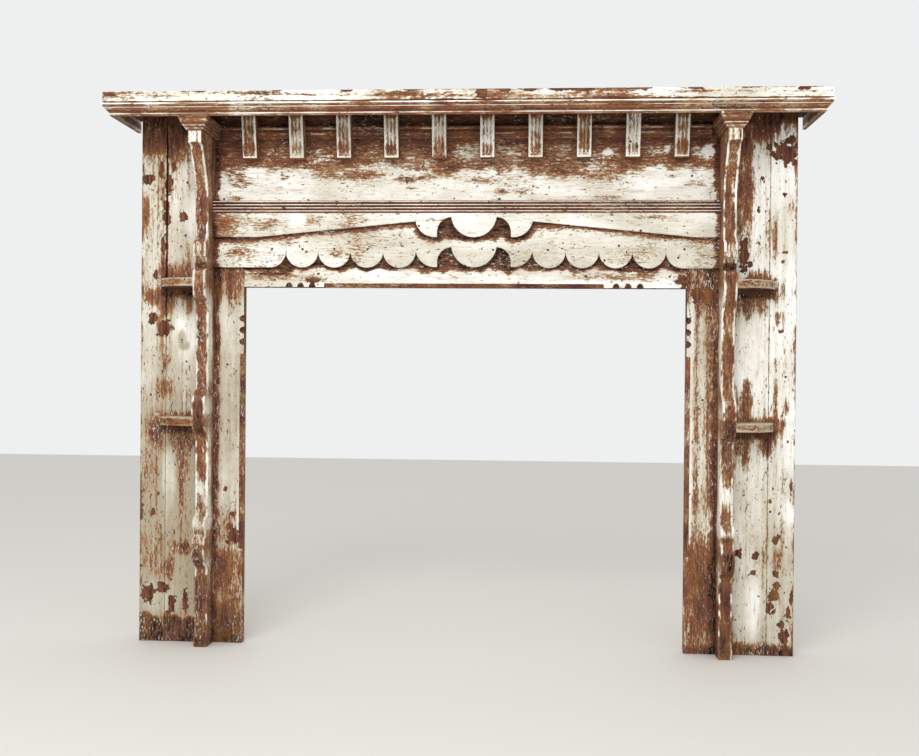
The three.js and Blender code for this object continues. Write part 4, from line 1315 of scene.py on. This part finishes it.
class MANTEL_OT_dentils(bpy.types.Operator):
    """Builds the ten bracket dentils."""

    bl_idname = "mantel.dentils"
    bl_label = "Dentils"

    def execute(self, context):
        material = painted_pine("carvings")
        bed_low = node_box("bed_moulding")[0]
        for index in range(10):
            name = f"dentil_{index + 1:02d}"
            low, high = node_box(name)
            run = Pen((28, low.z), 3)
            run.line(30.1, low.z + 10)
            run.line(30.5, low.z + 12)
            run.line(52, high.z)
            rings = []
            for out, up in run.points:
                back = -(bed_low.y - 0.3) if up > bed_low.z - 0.4 else 0
                carved = up > low.z + 11
                rub = 0.5 * max(0, noise.noise(Vector((up / 9, index, 0))))
                rings.append(fluted_ring(low.x, high.x - low.x, out, up, back, 1.3 + rub,
                                         2.0 if carved else 0))
            add_piece(f"{name}_painted", [loft(rings)], material, [name],
                      self.wear_and_shading_on(index, low, high), aged=0.15)
        return {"FINISHED"}

    def wear_and_shading_on(self, index, low, high):
        """Wear of a dentil: brown down the middle and on the sides, with painted shade on the sides and at
        the top, and paint at the foot.
        """
        centre_x = (low.x + high.x) / 2
        # Four of the dentils are browner than the others, the fifth one at the foot too.
        browner = {0: 0.07, 1: 0.03, 2: 0.04, 4: 0.03}.get(index, 0.0)

        def wear_and_shading_at(x, y, z, stand):
            across = np.abs(x - centre_x)
            wear = 0.47 + browner + 0.08 * wander(z, 26, index * 1.7)
            # Lighter on crests and darker in the flutes: partly painted highlight and painted shade,
            # partly dirt in the flutes.
            wear = wear - 0.26 * smooth(13.5, 16, across) - 0.35 * np.clip(stand, -0.3, 0.3)
            foot = 1 - smooth(2.5, 5, z - low.z)
            wear -= (0.2 if index != 4 else -0.1) * foot
            wear += 0.12 * np.exp(-((z - low.z - 22) / 10) ** 2)
            # The sides are brown with painted shade.
            wear = np.where(across > 17.8, 0.6, wear)
            # Painted shade at the top, under the shelf moulding.
            return wear + 0.25 * smooth(high.z - 28, high.z - 8, z)

        return wear_and_shading_at


class MANTEL_OT_reeded_band(bpy.types.Operator):
    """Builds the band of four reeds below the frieze."""

    bl_idname = "mantel.reeded_band"
    bl_label = "Reeded Band"

    def execute(self, context):
        low, high = node_box("reeded_band")
        pitch = (high.z - low.z) / 4
        run = Pen((0, 0), 10)
        run.line(20, 0)
        run.spacing = 0.8
        for i in range(4):
            foot, head = i * pitch + 0.8, (i + 1) * pitch - 0.8
            run.line(19.6, foot)
            run.curve((25.2, foot), (25.2, head), (19.6, head))
        run.line(20, 4 * pitch)
        run.spacing = 10
        run.line(0, 4 * pitch)
        section = [(a, b + low.z) for a, b in run.points]
        material = painted_pine("mouldings")

        def wear_and_shading_at(x, y, z, stand):
            place = ((z - low.z) % pitch) / pitch
            # A painted highlight along the upper part of each reed's front.
            painted_highlight = np.exp(-((place - 0.66) / 0.14) ** 2) * smooth(-20.6, -22.5, y)
            side = np.where(x < 0, 0.12, 0.04) * smooth(540, 640, np.abs(x))
            wear = 0.68 - 0.5 * painted_highlight + side + 0.05 * wander(x, 60, 2.0)
            return np.where(y > -19, 0.45, wear)

        part = moulding(section, low.x, high.x, 4, lambda o, s: (s, -o))
        add_piece("reeded_band_painted", [part], material, ["reeded_band"],
                  wear_and_shading_at, aged=0.25, back=None)
        return {"FINISHED"}


class MANTEL_OT_frets(bpy.types.Operator):
    """Builds the two scalloped frets."""

    bl_idname = "mantel.frets"
    bl_label = "Frets"

    def execute(self, context):
        material = painted_pine("boards")
        upper = fret_edge("upper")
        foot = min(z for x, z in upper)
        for level in ("lower", "upper"):
            low, high = node_box(f"{level}_fret")
            edge = fret_edge(level)
            rings = []
            for i, (x, z) in enumerate(edge):
                before = edge[max(0, i - 1)]
                after = edge[min(len(edge) - 1, i + 1)]
                run_x, run_z = after[0] - before[0], after[1] - before[1]
                size = math.hypot(run_x, run_z) or 1
                nick = max(0, noise.noise(Vector((x / 9, z / 9, 3))) - 0.25) * 3
                inset = 0.9 + nick
                in_x, in_z = x - run_z / size * inset, z + run_x / size * inset
                ring = [(x, high.y, high.z), (x, high.y, z), (x, (low.y + high.y) / 2, z),
                        (x, low.y + inset, z),
                        ((x + in_x) / 2, low.y + inset * 0.3, (z + in_z) / 2), (in_x, low.y, in_z)]
                rows = 16 if level == "lower" else 10
                for row in range(1, rows + 1):
                    t = row / rows
                    ring.append((in_x + (x - in_x) * t, low.y, in_z + (high.z - in_z) * t))
                rings.append(ring)

            def wear_and_shading_at(x, y, z, stand, level=level, face=low.y):
                wear = head_wear(x, z, 0.2) + (0.07 if level == "lower" else 0.04)
                if level == "lower":
                    away = np.abs(x - FRET_OFFSET) + 5 * wander(z, 9, 3.0)
                    cusps = smooth(foot - 9, foot + 4, z + 4 * wander(x, 18, 5.0))
                    wear += 0.5 * (1 - smooth(128, 148, away)) * cusps
                    # A painted shadow, mixed with dirt, below the upper fret's cut edge.
                    wear += 0.5 * near_edge(x, z, upper, np.where(away < 220, 19, 14))
                cut = smooth(face + 0.6, face + 1.6, y)
                return np.where(cut > 0.5, 0.68, wear)

            add_piece(f"{level}_fret_painted", [loft(rings)], material,
                      [f"{level}_fret"], wear_and_shading_at,
                      [chip for chip in chips_within(640) if chip[1] < 1120], aged=0.28, back=None)
        return {"FINISHED"}


class MANTEL_OT_nails(bpy.types.Operator):
    """Builds the rusted nail heads."""

    bl_idname = "mantel.nails"
    bl_label = "Nails"

    def execute(self, context):
        # Where the nails are, and the depth of the face that each was driven into.
        places = [
            (-491, 1018, -10), (-412, 1017, -10), (-330, 1018, -10), (-244, 1017, -10),
            (215, 1016, -10), (358, 990, -10), (557, 1018, -10), (542, 997, -10),
            (-373, 955, 0), (-620, 1147, 0), (575, 1204, 0), (92, 1146, 0), (-608, 720, 0),
            (607, 640, 0), (-717, 1190, 0), (720, 1180, 0), (-810, 640, 0), (812, 700, 0),
        ]
        radius = millimetres("nail_head") / 2
        parts = []
        for x, z, y in places:
            # A low dome with a dished middle: how high each ring stands, and its share of the radius.
            rings = []
            for rise, scale in ((0, 1.0), (0.3, 0.95), (0.45, 0.7), (0.3, 0.3), (0.28, 0.05)):
                ring = []
                for i in range(14):
                    angle = 2 * math.pi * i / 14
                    wobble = 1 + 0.12 * noise.noise(Vector((x + i, z, 0)))
                    ring.append((x + radius * scale * wobble * math.cos(angle), y - rise,
                                 z + radius * scale * wobble * math.sin(angle)))
                rings.append(ring)
            parts.append(loft(rings))
        add_piece("nail_heads", parts, rusted_iron(), [],
                  lambda x, y, z, stand: np.full(len(x), 0.5), back=None)
        return {"FINISHED"}


def rusted_iron():
    """Cut nails, rusted: dull dark brown with an orange bloom."""
    material, tree, place = empty_material("Rusted iron")
    # Rust blooms 2 mm across.
    bloom = add_node(tree, "TexNoise", {"Vector": place, "Scale": 500.0, "Detail": 4.0}).outputs[0]
    ramp = add_node(tree, "ValToRGB", {"Fac": bloom})
    set_stops(ramp, [(0.35, palette("dirt_and_shade")), (0.55, palette("iron")), (0.75, palette("brown"))])
    bump = add_node(tree, "Bump", {"Height": bloom, "Strength": 0.5, "Distance": 0.0004}).outputs[0]
    shader = add_node(tree, "BsdfPrincipled", {
        "Base Color": ramp.outputs[0], "Roughness": 0.8, "Metallic": 0.3, "Normal": bump})
    add_node(tree, "OutputMaterial", {"Surface": shader.outputs[0]})
    return material


class MANTEL_OT_stage(bpy.types.Operator):
    """Lays the floor and sets the lights and the camera."""

    bl_idname = "mantel.stage"
    bl_label = "Stage"

    def execute(self, context):
        scene = context.scene
        mesh = bpy.data.meshes.new("floor")
        mesh.from_pydata([(-6, -6, 0), (6, -6, 0), (6, 6, 0), (-6, 6, 0)], [], [(0, 1, 2, 3)])
        material = bpy.data.materials.new("Matt studio floor")
        material.use_nodes = True
        shader = material.node_tree.nodes["Principled BSDF"]
        shader.inputs["Base Color"].default_value = palette("floor")
        shader.inputs["Roughness"].default_value = 0.7
        mesh.materials.append(material)
        floor = bpy.data.objects.new("floor", mesh)
        floor.location.z = -0.0005
        scene.collection.objects.link(floor)

        world = bpy.data.worlds.new("Pale studio")
        world.use_nodes = True
        world.node_tree.nodes["Background"].inputs["Color"].default_value = (0.975, 0.985, 0.99, 1)
        world.node_tree.nodes["Background"].inputs["Strength"].default_value = 0.88
        scene.world = world
        # The plain view shows the paint's colours as they are written.
        scene.view_settings.view_transform = "Standard"
        # Two broad lights in front: name, place, size and watts.
        for name, place, size, energy in (
                ("key", (-0.7, -2.8, 2.8), 1.8, 68), ("fill", (1.2, -3.6, 1.4), 2.5, 12)):
            light = bpy.data.lights.new(name, "AREA")
            light.size = size
            light.energy = energy
            lamp = bpy.data.objects.new(name, light)
            lamp.location = place
            aim = Vector((0, 0, 0.8)) - Vector(place)
            lamp.rotation_euler = aim.to_track_quat("-Z", "Y").to_euler()
            scene.collection.objects.link(lamp)
        self.add_camera(scene)
        return {"FINISHED"}

    def add_camera(self, scene):
        """The camera fitted to the photograph."""
        right, top, ahead = camera_axes()
        data = bpy.data.cameras.new("camera")
        data.sensor_width = 36
        data.lens = FOCAL_LENGTH / PICTURE[0] * data.sensor_width
        camera = bpy.data.objects.new("camera", data)
        turn = Matrix((right, top, -ahead)).transposed().to_4x4()
        x, y, z = (length / 1000 for length in CAMERA_PLACE)
        camera.matrix_world = Matrix.Translation((x, y + BOARD_FRONT, z)) @ turn
        scene.collection.objects.link(camera)
        scene.camera = camera


class MANTEL_PT_panel(bpy.types.Panel):
    """Lists the sizes, the colours and the pieces."""

    bl_idname = "MANTEL_PT_panel"
    bl_label = "Mantelpiece"
    bl_space_type = "VIEW_3D"
    bl_region_type = "UI"
    bl_category = "Mantelpiece"

    def draw(self, context):
        for group in (context.scene.mantel_sizes, context.scene.mantel_colours):
            column = self.layout.column()
            for name in group.__annotations__:
                column.prop(group, name)
        for operator in OPERATORS:
            self.layout.operator(operator.bl_idname)


OPERATORS = (
    MANTEL_OT_stage,
    MANTEL_OT_head_boards,
    MANTEL_OT_legs,
    MANTEL_OT_shelf,
    MANTEL_OT_pilasters,
    MANTEL_OT_capitals,
    MANTEL_OT_corner_shelves,
    MANTEL_OT_bed_moulding,
    MANTEL_OT_dentils,
    MANTEL_OT_reeded_band,
    MANTEL_OT_frets,
    MANTEL_OT_nails,
)
CLASSES = (MantelSizes, MantelColours, *OPERATORS, MANTEL_PT_panel)


def register():
    for cls in CLASSES:
        bpy.utils.register_class(cls)
    bpy.types.Scene.mantel_sizes = bpy.props.PointerProperty(type=MantelSizes)
    bpy.types.Scene.mantel_colours = bpy.props.PointerProperty(type=MantelColours)


def unregister():
    del bpy.types.Scene.mantel_sizes
    del bpy.types.Scene.mantel_colours
    for cls in reversed(CLASSES):
        bpy.utils.unregister_class(cls)


def main():
    """Builds the whole mantelpiece."""
    register()
    bpy.ops.mantel.stage()
    bpy.ops.mantel.head_boards()
    bpy.ops.mantel.legs()
    bpy.ops.mantel.shelf()
    bpy.ops.mantel.pilasters()
    bpy.ops.mantel.capitals()
    bpy.ops.mantel.corner_shelves()
    bpy.ops.mantel.bed_moulding()
    bpy.ops.mantel.dentils()
    bpy.ops.mantel.reeded_band()
    bpy.ops.mantel.frets()
    bpy.ops.mantel.nails()


if __name__ == "__main__":
    main()
